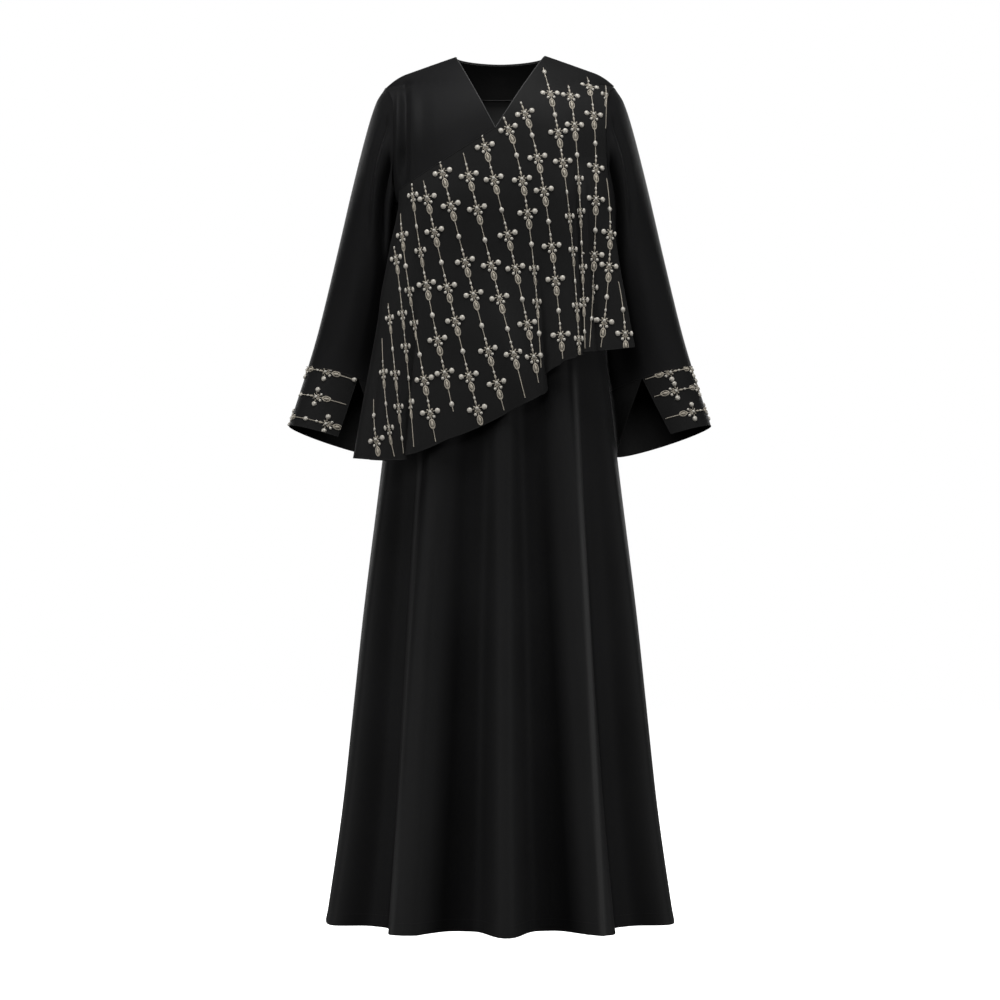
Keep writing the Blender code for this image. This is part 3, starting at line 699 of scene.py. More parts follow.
def rim_faces(rows, count, closed, layer):
    """Faces that close the edges between the outer and the inner layer of a sheet."""
    bottom = list(range(count))
    top = [(rows - 1) * count + column for column in reversed(range(count))]
    if closed:
        rims = [bottom + bottom[:1], top + top[:1]]
    else:
        right = [row * count + count - 1 for row in range(rows)]
        left = [row * count for row in reversed(range(rows))]
        rims = [bottom, right, top, left]
    faces = []
    for path in rims:
        for first, second in zip(path, path[1:]):
            faces.append((second, first, layer + first, layer + second))
    return faces


def sheet_wall(name, material, grid, normals, thickness=WALL, closed=False, shine=0.0, inside=0.0):
    """A closed wall of cloth from its outer points and outward directions, with how much painted highlight
    its outside takes and how much painted light its inside takes.
    """
    rows, count = grid.shape[:2]
    layer = rows * count
    inner = grid - normals * thickness
    points = np.concatenate([grid.reshape(-1, 3), inner.reshape(-1, 3)])
    outer_faces = grid_faces(rows, count, closed, 0, False)
    faces = outer_faces + grid_faces(rows, count, closed, layer, True) + rim_faces(rows, count, closed, layer)
    piece = make_mesh(name, points, faces, material)
    mesh = piece.data
    lengths = grid_lengths(grid, closed).reshape(-1, 2)
    lengths = np.concatenate([lengths, lengths])
    weave = mesh.uv_layers.new(name="weave")
    corners = np.empty(len(mesh.loops), dtype=np.int32)
    mesh.loops.foreach_get("vertex_index", corners)
    weave.data.foreach_set("uv", lengths[corners].ravel())
    mesh.set_sharp_from_angle(angle=math.radians(SHARP_ANGLE))
    # Painted light per point, kept as a vertex attribute: painted highlights on the outside, painted light on
    # the inside
    painted_light = np.full(2 * layer, inside, dtype=np.float32)
    painted_light[:layer] = np.ravel(shine)
    mesh.attributes.new("painted_light", "FLOAT", "POINT").data.foreach_set("value", painted_light)
    outside = BVHTree.FromPolygons([tuple(point) for point in grid.reshape(-1, 3)], outer_faces)
    return Sheet(piece, grid, outside)


def value_node(tree, kind, **inputs):
    """Add a node and set its named inputs."""
    node = tree.nodes.new(kind)
    for key, value in inputs.items():
        node.inputs[key.replace("_", " ")].default_value = value
    return node


def noise(tree, place, scale, detail, roughness):
    """Fine uneven noise over a place on the piece."""
    node = value_node(tree, "ShaderNodeTexNoise", Scale=scale, Detail=detail, Roughness=roughness)
    tree.links.new(place, node.inputs["Vector"])
    return node.outputs["Fac"]


def colour_mix(tree, factor, first, second):
    """Mix two colours by a pattern. Each is a fixed colour or another pattern's."""
    mix = tree.nodes.new("ShaderNodeMix")
    mix.data_type = "RGBA"
    tree.links.new(factor, mix.inputs["Factor"])
    for socket, colour in (("A", first), ("B", second)):
        if isinstance(colour, tuple):
            mix.inputs[socket].default_value = (*colour, 1.0)
        else:
            tree.links.new(colour, mix.inputs[socket])
    return mix.outputs["Result"]


def raised(tree, lower, upper, share):
    """Add a share of one pattern's height to another's."""
    total = tree.nodes.new("ShaderNodeMath")
    total.operation = "MULTIPLY_ADD"
    tree.links.new(upper, total.inputs[0])
    total.inputs[1].default_value = share
    tree.links.new(lower, total.inputs[2])
    return total.outputs["Value"]


def bumped(tree, shader, height, strength, distance):
    """Let a pattern's height stand out of the surface."""
    bump = value_node(tree, "ShaderNodeBump", Strength=strength, Distance=distance)
    tree.links.new(height, bump.inputs["Height"])
    tree.links.new(bump.outputs["Normal"], shader.inputs["Normal"])


def weave_height(tree):
    """The cloth's pebbled weave with slubs and threads, on the sheet's own lengths."""
    weave = tree.nodes.new("ShaderNodeUVMap")
    weave.uv_map = "weave"
    pebble = noise(tree, weave.outputs["UV"], scale=1100.0, detail=2.0, roughness=0.6)
    stretch = tree.nodes.new("ShaderNodeMapping")
    stretch.inputs["Scale"].default_value = (260.0, 26.0, 1.0)
    tree.links.new(weave.outputs["UV"], stretch.inputs["Vector"])
    slub = noise(tree, stretch.outputs["Vector"], scale=1.0, detail=2.0, roughness=0.5)
    thread = value_node(tree, "ShaderNodeTexWave", Scale=420.0, Distortion=2.0)
    thread.bands_direction = "Y"
    tree.links.new(weave.outputs["UV"], thread.inputs["Vector"])
    return raised(tree, raised(tree, pebble, slub, SLUB_SHARE), thread.outputs["Fac"], THREAD_SHARE)


def cloth_material(name, dark, light, roughness, sheen, specular, grain):
    """Matte crepe: a fine pebbled weave, faint slubs and slightly uneven depth of black, mixed towards a
    paler colour by a vertex attribute that holds painted highlights and painted light.
    """
    material = bpy.data.materials.new(name)
    material.use_nodes = True
    tree = material.node_tree
    link = tree.links.new
    shader = tree.nodes["Principled BSDF"]
    place = tree.nodes.new("ShaderNodeTexCoord")
    tone = noise(tree, place.outputs["Object"], scale=5.0, detail=3.0, roughness=0.5)
    depth = value_node(tree, "ShaderNodeMapRange", From_Min=0.35, From_Max=0.65)
    link(tone, depth.inputs["Value"])
    black = colour_mix(tree, depth.outputs["Result"], dark, light)
    # A vertex attribute mixes the black towards a paler colour: painted highlights and painted light
    painted_light = tree.nodes.new("ShaderNodeAttribute")
    painted_light.attribute_name = "painted_light"
    black_with_painted_light = colour_mix(tree, painted_light.outputs["Fac"], black, PAINTED_LIGHT_COLOUR)
    link(black_with_painted_light, shader.inputs["Base Color"])
    smoothest = roughness - ROUGHNESS_SPREAD
    roughest = roughness + ROUGHNESS_SPREAD
    rough = value_node(tree, "ShaderNodeMapRange", To_Min=smoothest, To_Max=roughest)
    link(tone, rough.inputs["Value"])
    link(rough.outputs["Result"], shader.inputs["Roughness"])
    bumped(tree, shader, weave_height(tree), grain, WEAVE_HEIGHT)
    shader.inputs["Sheen Weight"].default_value = sheen
    shader.inputs["Sheen Roughness"].default_value = 0.45
    shader.inputs["Specular IOR Level"].default_value = specular
    return material


def thread_material(name, colour, second, roughness, specular):
    """Silky embroidery thread or pearl beads, with fine strands and uneven colour."""
    material = bpy.data.materials.new(name)
    material.use_nodes = True
    tree = material.node_tree
    shader = tree.nodes["Principled BSDF"]
    place = tree.nodes.new("ShaderNodeTexCoord")
    tone = noise(tree, place.outputs["Object"], scale=160.0, detail=2.0, roughness=0.5)
    tree.links.new(colour_mix(tree, tone, colour, second), shader.inputs["Base Color"])
    strand = noise(tree, place.outputs["Object"], scale=900.0, detail=1.0, roughness=0.5)
    bumped(tree, shader, strand, 0.25, STRAND_HEIGHT)
    shader.inputs["Roughness"].default_value = roughness
    shader.inputs["Specular IOR Level"].default_value = specular
    shader.inputs["Sheen Weight"].default_value = 0.1
    return material


def grey(value):
    """A colour without tint."""
    return (value, value, value)


CREPE = cloth_material(
    "black_crepe",
    dark=(0.0038, 0.0038, 0.0040),
    light=(0.0054, 0.0054, 0.0057),
    roughness=0.62,
    sheen=0.010,
    specular=0.06,
    grain=0.35,
)
OVERLAY_CREPE = cloth_material(
    "overlay_crepe", grey(0.0046), grey(0.0068), roughness=0.60, sheen=0.010, specular=0.06, grain=0.40
)
# The facing's cloth is paler than the crepe: painted light on the inside of the back neck
PAINTED_LIGHT_FACING_CLOTH = cloth_material(
    "facing_cloth", grey(0.0140), grey(0.0180), roughness=0.75, sheen=0.01, specular=0.06, grain=0.25
)
# Paler cloth of the bright rolled edges: a painted highlight along the neck, the V and the facing
PAINTED_HIGHLIGHT_EDGE_CLOTH = cloth_material(
    "edge_crepe_painted_highlight", grey(0.018), grey(0.026), roughness=0.55, sheen=0.05, specular=0.20, grain=0.20
)
STITCH = cloth_material(
    "black_thread", grey(0.006), grey(0.009), roughness=0.55, sheen=0.02, specular=0.10, grain=0.10
)
PEARL = thread_material(
    "pearl_beads", (0.36, 0.34, 0.30), (0.25, 0.235, 0.205), roughness=0.32, specular=0.55
)
SILK = thread_material(
    "champagne_thread", (0.29, 0.262, 0.215), (0.20, 0.18, 0.145), roughness=0.55, specular=0.30
)


def neck_turn():
    """Turn of the column that runs up to the neck's corner on the shoulder."""
    return math.degrees(math.asin(NECK_HALF / SHOULDER_HALF))


def v_turn():
    """Turn of the column that runs up to the bottom of the V."""
    half_width = float(along(BODY, "half_width", V_BOTTOM_DROP))
    return math.degrees(math.asin(V_BOTTOM_X / half_width))


def side_turns(neck, end):
    """Turns after the neck's corner out to the end."""
    return neck + (end - neck) * np.arange(1, SIDE_COLUMNS + 1) / SIDE_COLUMNS


def front_turns():
    """Turns of the front's columns, with one at each corner of the neck and one at the V."""
    neck = neck_turn()
    outer = side_turns(neck, 90.0)
    to_v = crowded(-neck, v_turn(), NECK_COLUMNS)
    from_v = crowded(neck, v_turn(), NECK_COLUMNS)[::-1][1:]
    return np.concatenate([-outer[::-1], [-neck], to_v, from_v, [neck], outer])


def back_turns():
    """Turns of the back's columns, with one at each corner of the neck."""
    neck = neck_turn()
    outer = side_turns(neck, 90.0)
    inner = crowded(neck, 0.0, NECK_COLUMNS)
    return np.concatenate([-outer[::-1], [-neck], -inner, inner[::-1][1:], [neck], outer])


def seam_sink(turn, drop):
    """How far the cloth turns in along the side seams and the armholes."""
    depth = along(BODY, "front_depth", drop)
    away = np.radians(90.0 - np.abs(turn)) * depth
    return -SEAM_SINK * (1.0 - ease(away / SEAM_WIDTH))


def body_grid(turns, point_at, neck_drop, creases):
    """Points of the front or the back and their outward directions, hem first."""
    top = edge_drop(turns, neck_drop)
    drops = column_drops(HEM_DROP, UNDERARM_DROP, top, BODY_ROWS_BELOW, BODY_ROWS_ABOVE)
    turn = np.broadcast_to(turns, drops.shape)
    grid = point_at(turn, drops)
    normals = grid_normals(grid, False)
    flatten_sides(normals)
    out = crease_out(creases, grid[..., 0], drops) + seam_sink(turn, drops)
    grid = grid + normals * out[..., None]
    normals = grid_normals(grid, False)
    flatten_sides(normals)
    flatten_shoulder(normals, np.abs(grid[-1, :, 0]) >= NECK_HALF - SEAM_GAP)
    return grid, normals


def overlay_side(column, turn, drop):
    """Read the overlay's side tables, right of the middle or left of it."""
    left = along(OVERLAY_LEFT, column, drop)
    right = along(OVERLAY_RIGHT, column, drop)
    return np.where(turn >= 0.0, left, right)


def overlay_width(turn, drop):
    """Half width of the overlay on this side of the middle."""
    return along(BODY, "half_width", drop) + overlay_side("beyond", turn, drop)


def overlay_reach(turn, drop):
    """How far forward the overlay's side edge stands: at the armhole it follows the front's."""
    start = np.where(turn >= 0.0, OVERLAY_LEFT[0].drop, OVERLAY_RIGHT[0].drop)
    return np.where(drop < start, armhole_reach(drop), overlay_side("reach", turn, drop))


def overlay_lift(drop):
    """How far the overlay's outside stands off the front beneath it."""
    hanging = ease((drop - UNDERARM_DROP) / OVERLAY_HANG_LENGTH)
    return LAYER_GAP + WALL + OVERLAY_HANG_LIFT * hanging


def overlay_point(turn, drop):
    """Points of the front, set wider and flatter for the overlay, before they are moved out."""
    half_width = overlay_width(turn, drop)
    x = half_width * np.sin(np.radians(turn))
    depth = along(BODY, "front_depth", drop) * shoulder_roll(x, drop, FRONT_ROLL)
    edge = np.minimum(overlay_reach(turn, drop), depth)
    out = crease_out(OVERLAY_CREASES, x, drop)
    return panel_point(turn, drop, half_width, depth, edge, 0.0, out, -1.0)


def overlay_top_drop(x):
    """Drop of the overlay's upper edge: the V's left edge, then its slanted edge."""
    part = np.clip((V_BOTTOM_X - x) / (V_BOTTOM_X - OVERLAY_CORNER_X), 0.0, 1.0)
    slanted = V_BOTTOM_DROP + (OVERLAY_CORNER_DROP - V_BOTTOM_DROP) * part
    return np.where(x >= V_BOTTOM_X, v_neck_drop(x), slanted)


def overlay_edge_drop(turn, upper):
    """Drop of the overlay's upper edge, or of its hem, at turns."""
    sine = np.sin(np.radians(turn))
    drop = np.full_like(turn, V_BOTTOM_DROP if upper else OVERLAY_HEM[0].drop)
    for _ in range(EDGE_STEPS):
        x = overlay_width(turn, drop) * sine
        if upper:
            drop = np.where(x > NECK_HALF, shoulder_drop(x), overlay_top_drop(x))
        else:
            drop = along(OVERLAY_HEM, "drop", x)
    return drop


def overlay_grid():
    """Points of the overlay and their outward directions, hem first."""
    neck = neck_turn()
    bottom = math.degrees(math.asin(V_BOTTOM_X / float(overlay_width(-1.0, V_BOTTOM_DROP))))
    right = np.arange(OVERLAY_RIGHT_COLUMNS + 1) / OVERLAY_RIGHT_COLUMNS
    right = -90.0 + (bottom + 90.0) * right
    from_v = crowded(neck, bottom, NECK_COLUMNS)[::-1][1:]
    turns = np.concatenate([right, from_v, [neck], side_turns(neck, OVERLAY_END_TURN)])
    top = overlay_edge_drop(turns, True)
    hem = overlay_edge_drop(turns, False)
    split = UNDERARM_DROP + OVERLAY_SPLIT_EXTRA * np.maximum(-turns / 90.0, 0.0)
    drops = column_drops(hem, split, top, OVERLAY_ROWS_BELOW, BODY_ROWS_ABOVE)
    grid = overlay_point(np.broadcast_to(turns, drops.shape), drops)
    normals = grid_normals(grid, False)
    flatten_shoulder(normals, grid[-1, :, 0] >= NECK_HALF - SEAM_GAP)
    grid = grid + normals * overlay_lift(-grid[..., 2])[..., None]
    return grid, normals


def sleeve_point(run, angle, side):
    """Points on the outside of a sleeve, at angles from its outer line round by the front."""
    cosine = np.cos(np.radians(angle))
    sine = np.sin(np.radians(angle))
    outer_x = along(SLEEVE, "outer_x", run)
    inner_x = along(SLEEVE, "inner_x", run)
    outer_drop = along(SLEEVE, "outer_drop", run)
    inner_drop = along(SLEEVE, "inner_drop", run)
    x = (outer_x + inner_x) / 2 + (outer_x - inner_x) / 2 * cosine
    drop = (outer_drop + inner_drop) / 2 + (outer_drop - inner_drop) / 2 * cosine
    y = along(SLEEVE, "middle_y", run) - along(SLEEVE, "half_depth", run) * sine
    start_drop = (SHOULDER_TIP_DROP + UNDERARM_DROP) / 2
    start_drop = start_drop + (SHOULDER_TIP_DROP - UNDERARM_DROP) / 2 * cosine
    start_middle = (SLEEVE[0].outer_x + SLEEVE[0].inner_x) / 2
    start_x = start_middle + (SLEEVE[0].outer_x - SLEEVE[0].inner_x) / 2 * cosine
    fade = np.maximum(1.0 - run / ARMHOLE_BLEND, 0.0) ** 2
    x = x + (along(BODY, "half_width", start_drop) - start_x) * fade + SLEEVE_GAP
    drop = drop - CUFF_FRONT_RISE * sine * ease(run / CUFF_FROM)
    return np.stack([side * x, y, -drop], axis=-1)


def sleeve_grid(runs, angles, side, closed):
    """Points of a sleeve or a cuff with their folds."""
    if side < 0:
        runs, angles = runs[:, ::-1], angles[:, ::-1]
    grid = sleeve_point(runs, angles, side)
    normals = grid_normals(grid, closed)
    if closed:
        flatten(normals[0], 0)
    out = SLEEVE_OUT * ease(runs / SLEEVE_OUT_BY) + pleat_out(SLEEVE_PLEATS, angles % 360.0, runs)
    return grid + normals * out[..., None]


def side_name(piece, side):
    """Name a piece of a pair by the wearer's side."""
    return piece + ("_left" if side > 0 else "_right")


def finish(piece):
    """Fix a piece to the body."""
    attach(piece, "root")
    return piece


def clear_selection():
    """Select nothing, so that an operator acts on the new piece only."""
    if bpy.context.mode != "OBJECT":
        bpy.ops.object.mode_set(mode="OBJECT")
    bpy.ops.object.select_all(action="DESELECT")


def dome(shape):
    """A bead, a leaf or a stitch on the cloth, with its two ends drawn out to points."""
    clear_selection()
    bpy.ops.mesh.primitive_uv_sphere_add(
        segments=shape.segments, ring_count=DOME_RINGS, radius=1.0, rotation=(math.pi / 2, 0.0, 0.0)
    )
    bead = bpy.context.object
    bpy.ops.object.transform_apply(location=True, rotation=True, scale=True)
    bpy.ops.object.mode_set(mode="EDIT")
    bpy.ops.mesh.select_all(action="SELECT")
    bpy.ops.mesh.bisect(plane_co=ORIGIN, plane_no=(0.0, 0.0, 1.0), clear_inner=True, use_fill=True)
    if shape.points:
        for end in (-1.0, 1.0):
            bpy.ops.mesh.select_mode(type="VERT")
            bpy.ops.mesh.select_all(action="DESELECT")
            bpy.ops.object.mode_set(mode="OBJECT")
            for vertex in bead.data.vertices:
                vertex.select = vertex.co.y * end > DOME_TIP_FROM
            bpy.ops.object.mode_set(mode="EDIT")
            bpy.ops.transform.translate(value=(0.0, end * shape.points, 0.0))
    bpy.ops.mesh.select_all(action="SELECT")
    bpy.ops.transform.resize(value=(shape.half_x, shape.half_y, shape.height), center_override=ORIGIN)
    bpy.ops.object.mode_set(mode="OBJECT")
    bead.rotation_euler = (0.0, 0.0, shape.tilt)
    bead.location = (shape.x, shape.y, 0.0)
    bpy.ops.object.transform_apply(location=True, rotation=True, scale=True)
    return bead


def joined(parts):
    """Join parts into one shape and read its points and faces, then take it away."""
    clear_selection()
    for part in parts:
        part.select_set(True)
    bpy.context.view_layer.objects.active = parts[0]
    if len(parts) > 1:
        bpy.ops.object.join()
    shape = bpy.context.view_layer.objects.active
    points = np.array([vertex.co[:] for vertex in shape.data.vertices])
    faces = [tuple(face.vertices) for face in shape.data.polygons]
    bpy.data.objects.remove(shape)
    return points, faces


def oval_ring(shape):
    """A stitched ring round a leaf."""
    clear_selection()
    thin = shape.thick / shape.half_x
    bpy.ops.mesh.primitive_torus_add(major_segments=16, minor_segments=4, major_radius=1.0, minor_radius=thin)
    ring = bpy.context.object
    bpy.ops.object.mode_set(mode="EDIT")
    bpy.ops.mesh.select_all(action="SELECT")
    bpy.ops.transform.resize(value=(shape.half_x, shape.half_y, shape.half_x), center_override=ORIGIN)
    bpy.ops.object.mode_set(mode="OBJECT")
    ring.location = (shape.x, shape.y, shape.lift)
    bpy.ops.object.transform_apply(location=True, rotation=True, scale=True)
    return ring


def sprig_threads():
    """The satin-stitched parts of a sprig: two leaves, a ring, four petals and their stems."""
    parts = [dome(UPPER_LEAF), dome(LOWER_LEAF), oval_ring(LEAF_RING)]
    for angle in PETAL_ANGLES:
        tilt = math.radians(angle)
        out = PETAL.y
        parts.append(dome(PETAL._replace(x=-out * math.sin(tilt), y=out * math.cos(tilt), tilt=tilt)))
    for side in (-1.0, 1.0):
        parts.append(dome(SIDE_STEM._replace(x=side * SIDE_STEM.x)))
        parts.append(dome(LOWER_STEM._replace(x=side * LOWER_STEM.x, tilt=side * LOWER_STEM.tilt)))
    return joined(parts)


Motif = namedtuple("Motif", "beads threads spacer")


def sprig_motif():
    """The repeat's shapes, each modelled once: a sprig's beads, its threads and the spacer bead."""
    beads = joined([dome(bead) for bead in SPRIG_BEADS])
    return Motif(beads, sprig_threads(), joined([dome(SPACER_BEAD)]))


def laid(shape, anchor, normal, down, tree, spread=1.0):
    """Lay a flat shape on a sheet: every point goes to the nearest place on the cloth."""
    points, faces = shape
    right = normal.cross(down).normalized()
    down = right.cross(normal).normalized()
    placed = []
    for x, y, z in points:
        wanted = anchor + right * x * spread - down * y
        spot, facing, _, _ = tree.find_nearest(wanted)
        placed.append(spot + facing * z)
    return placed, faces


def gather(batches, name, material):
    """Join many laid shapes into one mesh."""
    points = []
    faces = []
    for placed, shape_faces in batches:
        start = len(points)
        points.extend(placed)
        faces.extend(tuple(start + index for index in face) for face in shape_faces)
    return make_mesh(name, points, faces, material)


def path_walk(path):
    """Lengths along a path of points."""
    steps = [0.0]
    for first, second in zip(path, path[1:]):
        steps.append(steps[-1] + (second - first).length)
    return steps


def path_at(path, steps, length):
    """Place and direction at a length along a path."""
    index = min(max(int(np.searchsorted(steps, length)) - 1, 0), len(path) - 2)
    part = (length - steps[index]) / max(steps[index + 1] - steps[index], 1e-9)
    before = path[max(index - DIRECTION_REACH, 0)]
    after = path[min(index + 1 + DIRECTION_REACH, len(path) - 1)]
    return path[index].lerp(path[index + 1], part), (after - before).normalized()


def sprig_steps(start, end, first):
    """Where the sprigs and the spacer beads of a chain fall between its two ends."""
    sprigs = []
    spacers = []
    place = first - REPEAT * math.ceil((first - start) / REPEAT + 1.0)
    while place < end:
        for step in (0.0, PAIR_STEP):
            if start + TOP_ROOM < place + step < end - END_ROOM:
                sprigs.append(place + step)
        if start + TOP_ROOM < place + BEAD_STEP < end - TOP_ROOM:
            spacers.append(place + BEAD_STEP)
        place += REPEAT
    return sprigs, spacers


def gathered(drop, drawn):
    """A drop on the cloth as a place in the pattern, which is drawn together over the shoulder."""
    above = np.maximum(GATHERED_FROM - drop, 0.0)
    return drop - drawn * above * ease(above / GATHERED_OVER)


def spread_at(spot):
    """How wide a sprig lies here."""
    spread = 1.0
    for tuck in OVERLAY_TUCKS:
        if abs(spot.x - tuck.x) < tuck.reach_x and abs(spot.z + tuck.drop) < tuck.reach_drop:
            spread = tuck.spread
    return spread


def swept(name, paths, radius, material):
    """A thin cord of thread or rolled cloth along paths."""
    clear_selection()
    curve = bpy.data.curves.new(name, "CURVE")
    curve.dimensions = "3D"
    curve.bevel_depth = radius
    curve.bevel_resolution = CORD_ROUNDNESS
    curve.use_fill_caps = True
    for path in paths:
        spline = curve.splines.new("POLY")
        spline.points.add(len(path) - 1)
        for point, spot in zip(spline.points, path):
            point.co = (*spot, 1.0)
    piece = bpy.data.objects.new(name, curve)
    bpy.context.collection.objects.link(piece)
    piece.select_set(True)
    bpy.context.view_layer.objects.active = piece
    bpy.ops.object.convert(target="MESH")
    piece = bpy.context.object
    piece.data.materials.clear()
    piece.data.materials.append(material)
    piece.data.shade_smooth()
    return piece


def stitched_row(path, tree):
    """Short stitches along a path on the cloth."""
    stitch = joined([dome(HEM_STITCH)])
    steps = path_walk(path)
    batches = []
    place = HEM_STITCH_SPACING / 2
    while place < steps[-1]:
        spot, down = path_at(path, steps, place)
        near, normal, _, _ = tree.find_nearest(spot)
        batches.append(laid(stitch, near, normal, down, tree))
        place += HEM_STITCH_SPACING
    return batches


def front_sheet():
    """The front, with painted highlights on the crests of its folds and along two fold edges."""
    turns = front_turns()
    grid, normals = body_grid(turns, front_point, v_neck_drop, FRONT_CREASES)
    drop = -grid[..., 2]
    shine = painted_fold_highlight(grid[..., 0], drop) + painted_crest_highlight(FRONT_FOLDS, turns, drop)
    return sheet_wall("front_cloth", CREPE, grid, normals, shine=shine)


def back_sheets():
    """The back, with painted highlights on the crests of its folds and its inside painted paler as painted
    light, and the facing inside its neck.
    """
    turns = -back_turns()
    grid, normals = body_grid(turns, back_point, back_neck_drop, BACK_CREASES)
    shine = painted_crest_highlight(BACK_FOLDS, turns, -grid[..., 2])
    # Its inside takes the full paler colour: painted light
    back = sheet_wall("back_cloth", CREPE, grid, normals, shine=shine, inside=1.0)
    wide = np.abs(turns) <= neck_turn() + FACING_TURNS_PAST_NECK
    first_row = BODY_ROWS_BELOW + int(FACING_ROWS_PART * BODY_ROWS_ABOVE)
    band = grid[first_row:, wide]
    levels = normals[first_row:, wide]
    inset = BODY_WALL_IN_CAD + LAYER_GAP
    facing = sheet_wall("back_facing_cloth", PAINTED_LIGHT_FACING_CLOTH, band - levels * inset, levels, FACING_WALL)
    return back, facing


def sleeve_sheet(side):
    """A sleeve, from its armhole to its cuff band."""
    rows = np.arange(SLEEVE_ROWS + 1)[:, None] / SLEEVE_ROWS
    runs = (CUFF_FROM - SEAM_GAP) * rows**SLEEVE_CROWDING
    angles = 360.0 * np.arange(SLEEVE_COLUMNS)[None, :] / SLEEVE_COLUMNS
    runs, angles = np.broadcast_arrays(runs, angles)
    grid = sleeve_grid(runs, angles, side, True)
    normals = grid_normals(grid, True)
    flatten(normals[0], 0)
    return sheet_wall(side_name("sleeve", side) + "_cloth", CREPE, grid, normals, closed=True)


def slit_front_angle(side, down):
    """Angle of the slit's front edge at a place down the cuff band."""
    swing = SLIT_FRONT_SWING_LEFT if side > 0 else SLIT_FRONT_SWING_RIGHT
    return SLIT_TOP_ANGLE - SLIT_TOP_HALF - swing * down


def cuff_sheet(side):
    """A cuff band, from the back edge of its slit round to the front edge."""
    start = CUFF_FROM + SEAM_GAP
    down = np.arange(CUFF_ROWS + 1)[:, None] / CUFF_ROWS
    back_edge = SLIT_TOP_ANGLE + SLIT_TOP_HALF + SLIT_BACK_SWING * down + SLIT_BACK_CURL * down**2
    front_edge = 360.0 + slit_front_angle(side, down)
    part = np.arange(CUFF_COLUMNS + 1)[None, :] / CUFF_COLUMNS
    angles = back_edge + (front_edge - back_edge) * part
    runs = np.broadcast_to(start + (1.0 - start) * down, angles.shape)
    grid = sleeve_grid(runs, angles, side, False)
    return sheet_wall(side_name("cuff", side) + "_cloth", OVERLAY_CREPE, grid, grid_normals(grid, False))


def dress_cloth():
    """The sheets of the abaya, by the plain solid that each takes the place of."""
    sheets = {"front_panel": front_sheet()}
    sheets["back_panel"], sheets["back_neck_facing"] = back_sheets()
    grid, normals = overlay_grid()
    sheets["overlay_panel"] = sheet_wall("overlay_cloth", OVERLAY_CREPE, grid, normals)
    for side in (-1, 1):
        sheets[side_name("sleeve", side)] = sleeve_sheet(side)
        sheets[side_name("cuff", side)] = cuff_sheet(side)
    return sheets


def chain_path(chain, tree):
    """A chain's line on the overlay, through its three points as seen from the front."""
    path = []
    for step in range(CHAIN_POINTS + 1):
        t = step / CHAIN_POINTS
        early = (1.0 - t) * (1.0 - 2.0 * t)
        middle = 4.0 * t * (1.0 - t)
        late = t * (2.0 * t - 1.0)
        x = chain.top_x * early + chain.mid_x * middle + chain.end_x * late
        drop = chain.top_drop * early + chain.mid_drop * middle + chain.end_drop * late
        spot, normal, _, _ = tree.ray_cast(Vector((x, -1.0, -drop)), Vector((0.0, 1.0, 0.0)))
        if spot is not None:
            path.append(spot + normal * THREAD_LIFT)
    return path


def cuff_path(row, tree):
    """A row's line round a cuff, from behind its outer line to the slit."""
    path = []
    run = CUFF_FROM + (1.0 - CUFF_FROM) * row.down
    end = slit_front_angle(row.side, row.down) - CUFF_ROW_END_SHORT_OF_SLIT
    for step in range(CHAIN_POINTS + 1):
        angle = CUFF_ROW_START + (end - CUFF_ROW_START) * step / CHAIN_POINTS
        spot, normal, _, _ = tree.find_nearest(Vector(sleeve_point(run, angle, row.side)))
        path.append(spot + normal * THREAD_LIFT)
    return path


def overlay_chain(chain, tree):
    """A chain's line, its sprigs and its spacer beads as lengths along it."""
    path = chain_path(chain, tree)
    lengths = path_walk(path)
    places = [float(gathered(-spot.z, chain.drawn)) for spot in path]
    sprigs, spacers = sprig_steps(places[0], places[-1], chain.first)
    return path, np.interp(sprigs, places, lengths), np.interp(spacers, places, lengths)


def cuff_chain(row, tree):
    """A cuff row's line, its sprigs and its spacer beads as lengths along it."""
    path = cuff_path(row, tree)
    lengths = path_walk(path)
    in_front = [(abs(spot.x), length) for spot, length in zip(path, lengths) if spot.y < CUFF_FRONT_Y]
    first = min(in_front, key=lambda pair: abs(pair[0] - row.sprig_x))[1] - row.step
    sprigs, spacers = sprig_steps(0.0, lengths[-1] + CUFF_END_ROOM, first)
    return path, sprigs, [place for place in spacers if place < lengths[-1]]


def embroider(name, chains, tree, motif):
    """Threads, satin stitches and beads of several chains on one sheet."""
    beads = []
    threads = []
    for path, sprigs, spacers in chains:
        steps = path_walk(path)
        for place in sprigs:
            spot, down = path_at(path, steps, place)
            near, normal, _, _ = tree.find_nearest(spot)
            spread = spread_at(near)
            beads.append(laid(motif.beads, near, normal, down, tree, spread))
            threads.append(laid(motif.threads, near, normal, down, tree, spread))
        for place in spacers:
            spot, down = path_at(path, steps, place)
            near, normal, _, _ = tree.find_nearest(spot)
            beads.append(laid(motif.spacer, near, normal, down, tree, spread_at(near)))
    lines = swept(name + "_chain_threads", [chain[0] for chain in chains], THREAD_RADIUS, SILK)
    return [
        gather(beads, name + "_beads", PEARL),
        gather(threads, name + "_satin_stitches", SILK),
        lines,
    ]


def edge_line(grid, part, lift=-EDGE_RADIUS / 2):
    """A path along part of a sheet's points, moved a little way out, or in where the lift is negative."""
    moved = grid + grid_normals(grid, False) * lift
    return [Vector(point) for point in moved[part]]


def inside_neck(grid):
    """The columns of a panel that run up to the neck's edge."""
    columns = np.flatnonzero(np.abs(grid[-1, :, 0]) <= NECK_HALF)
    return slice(int(columns[0]), int(columns[-1]) + 1)


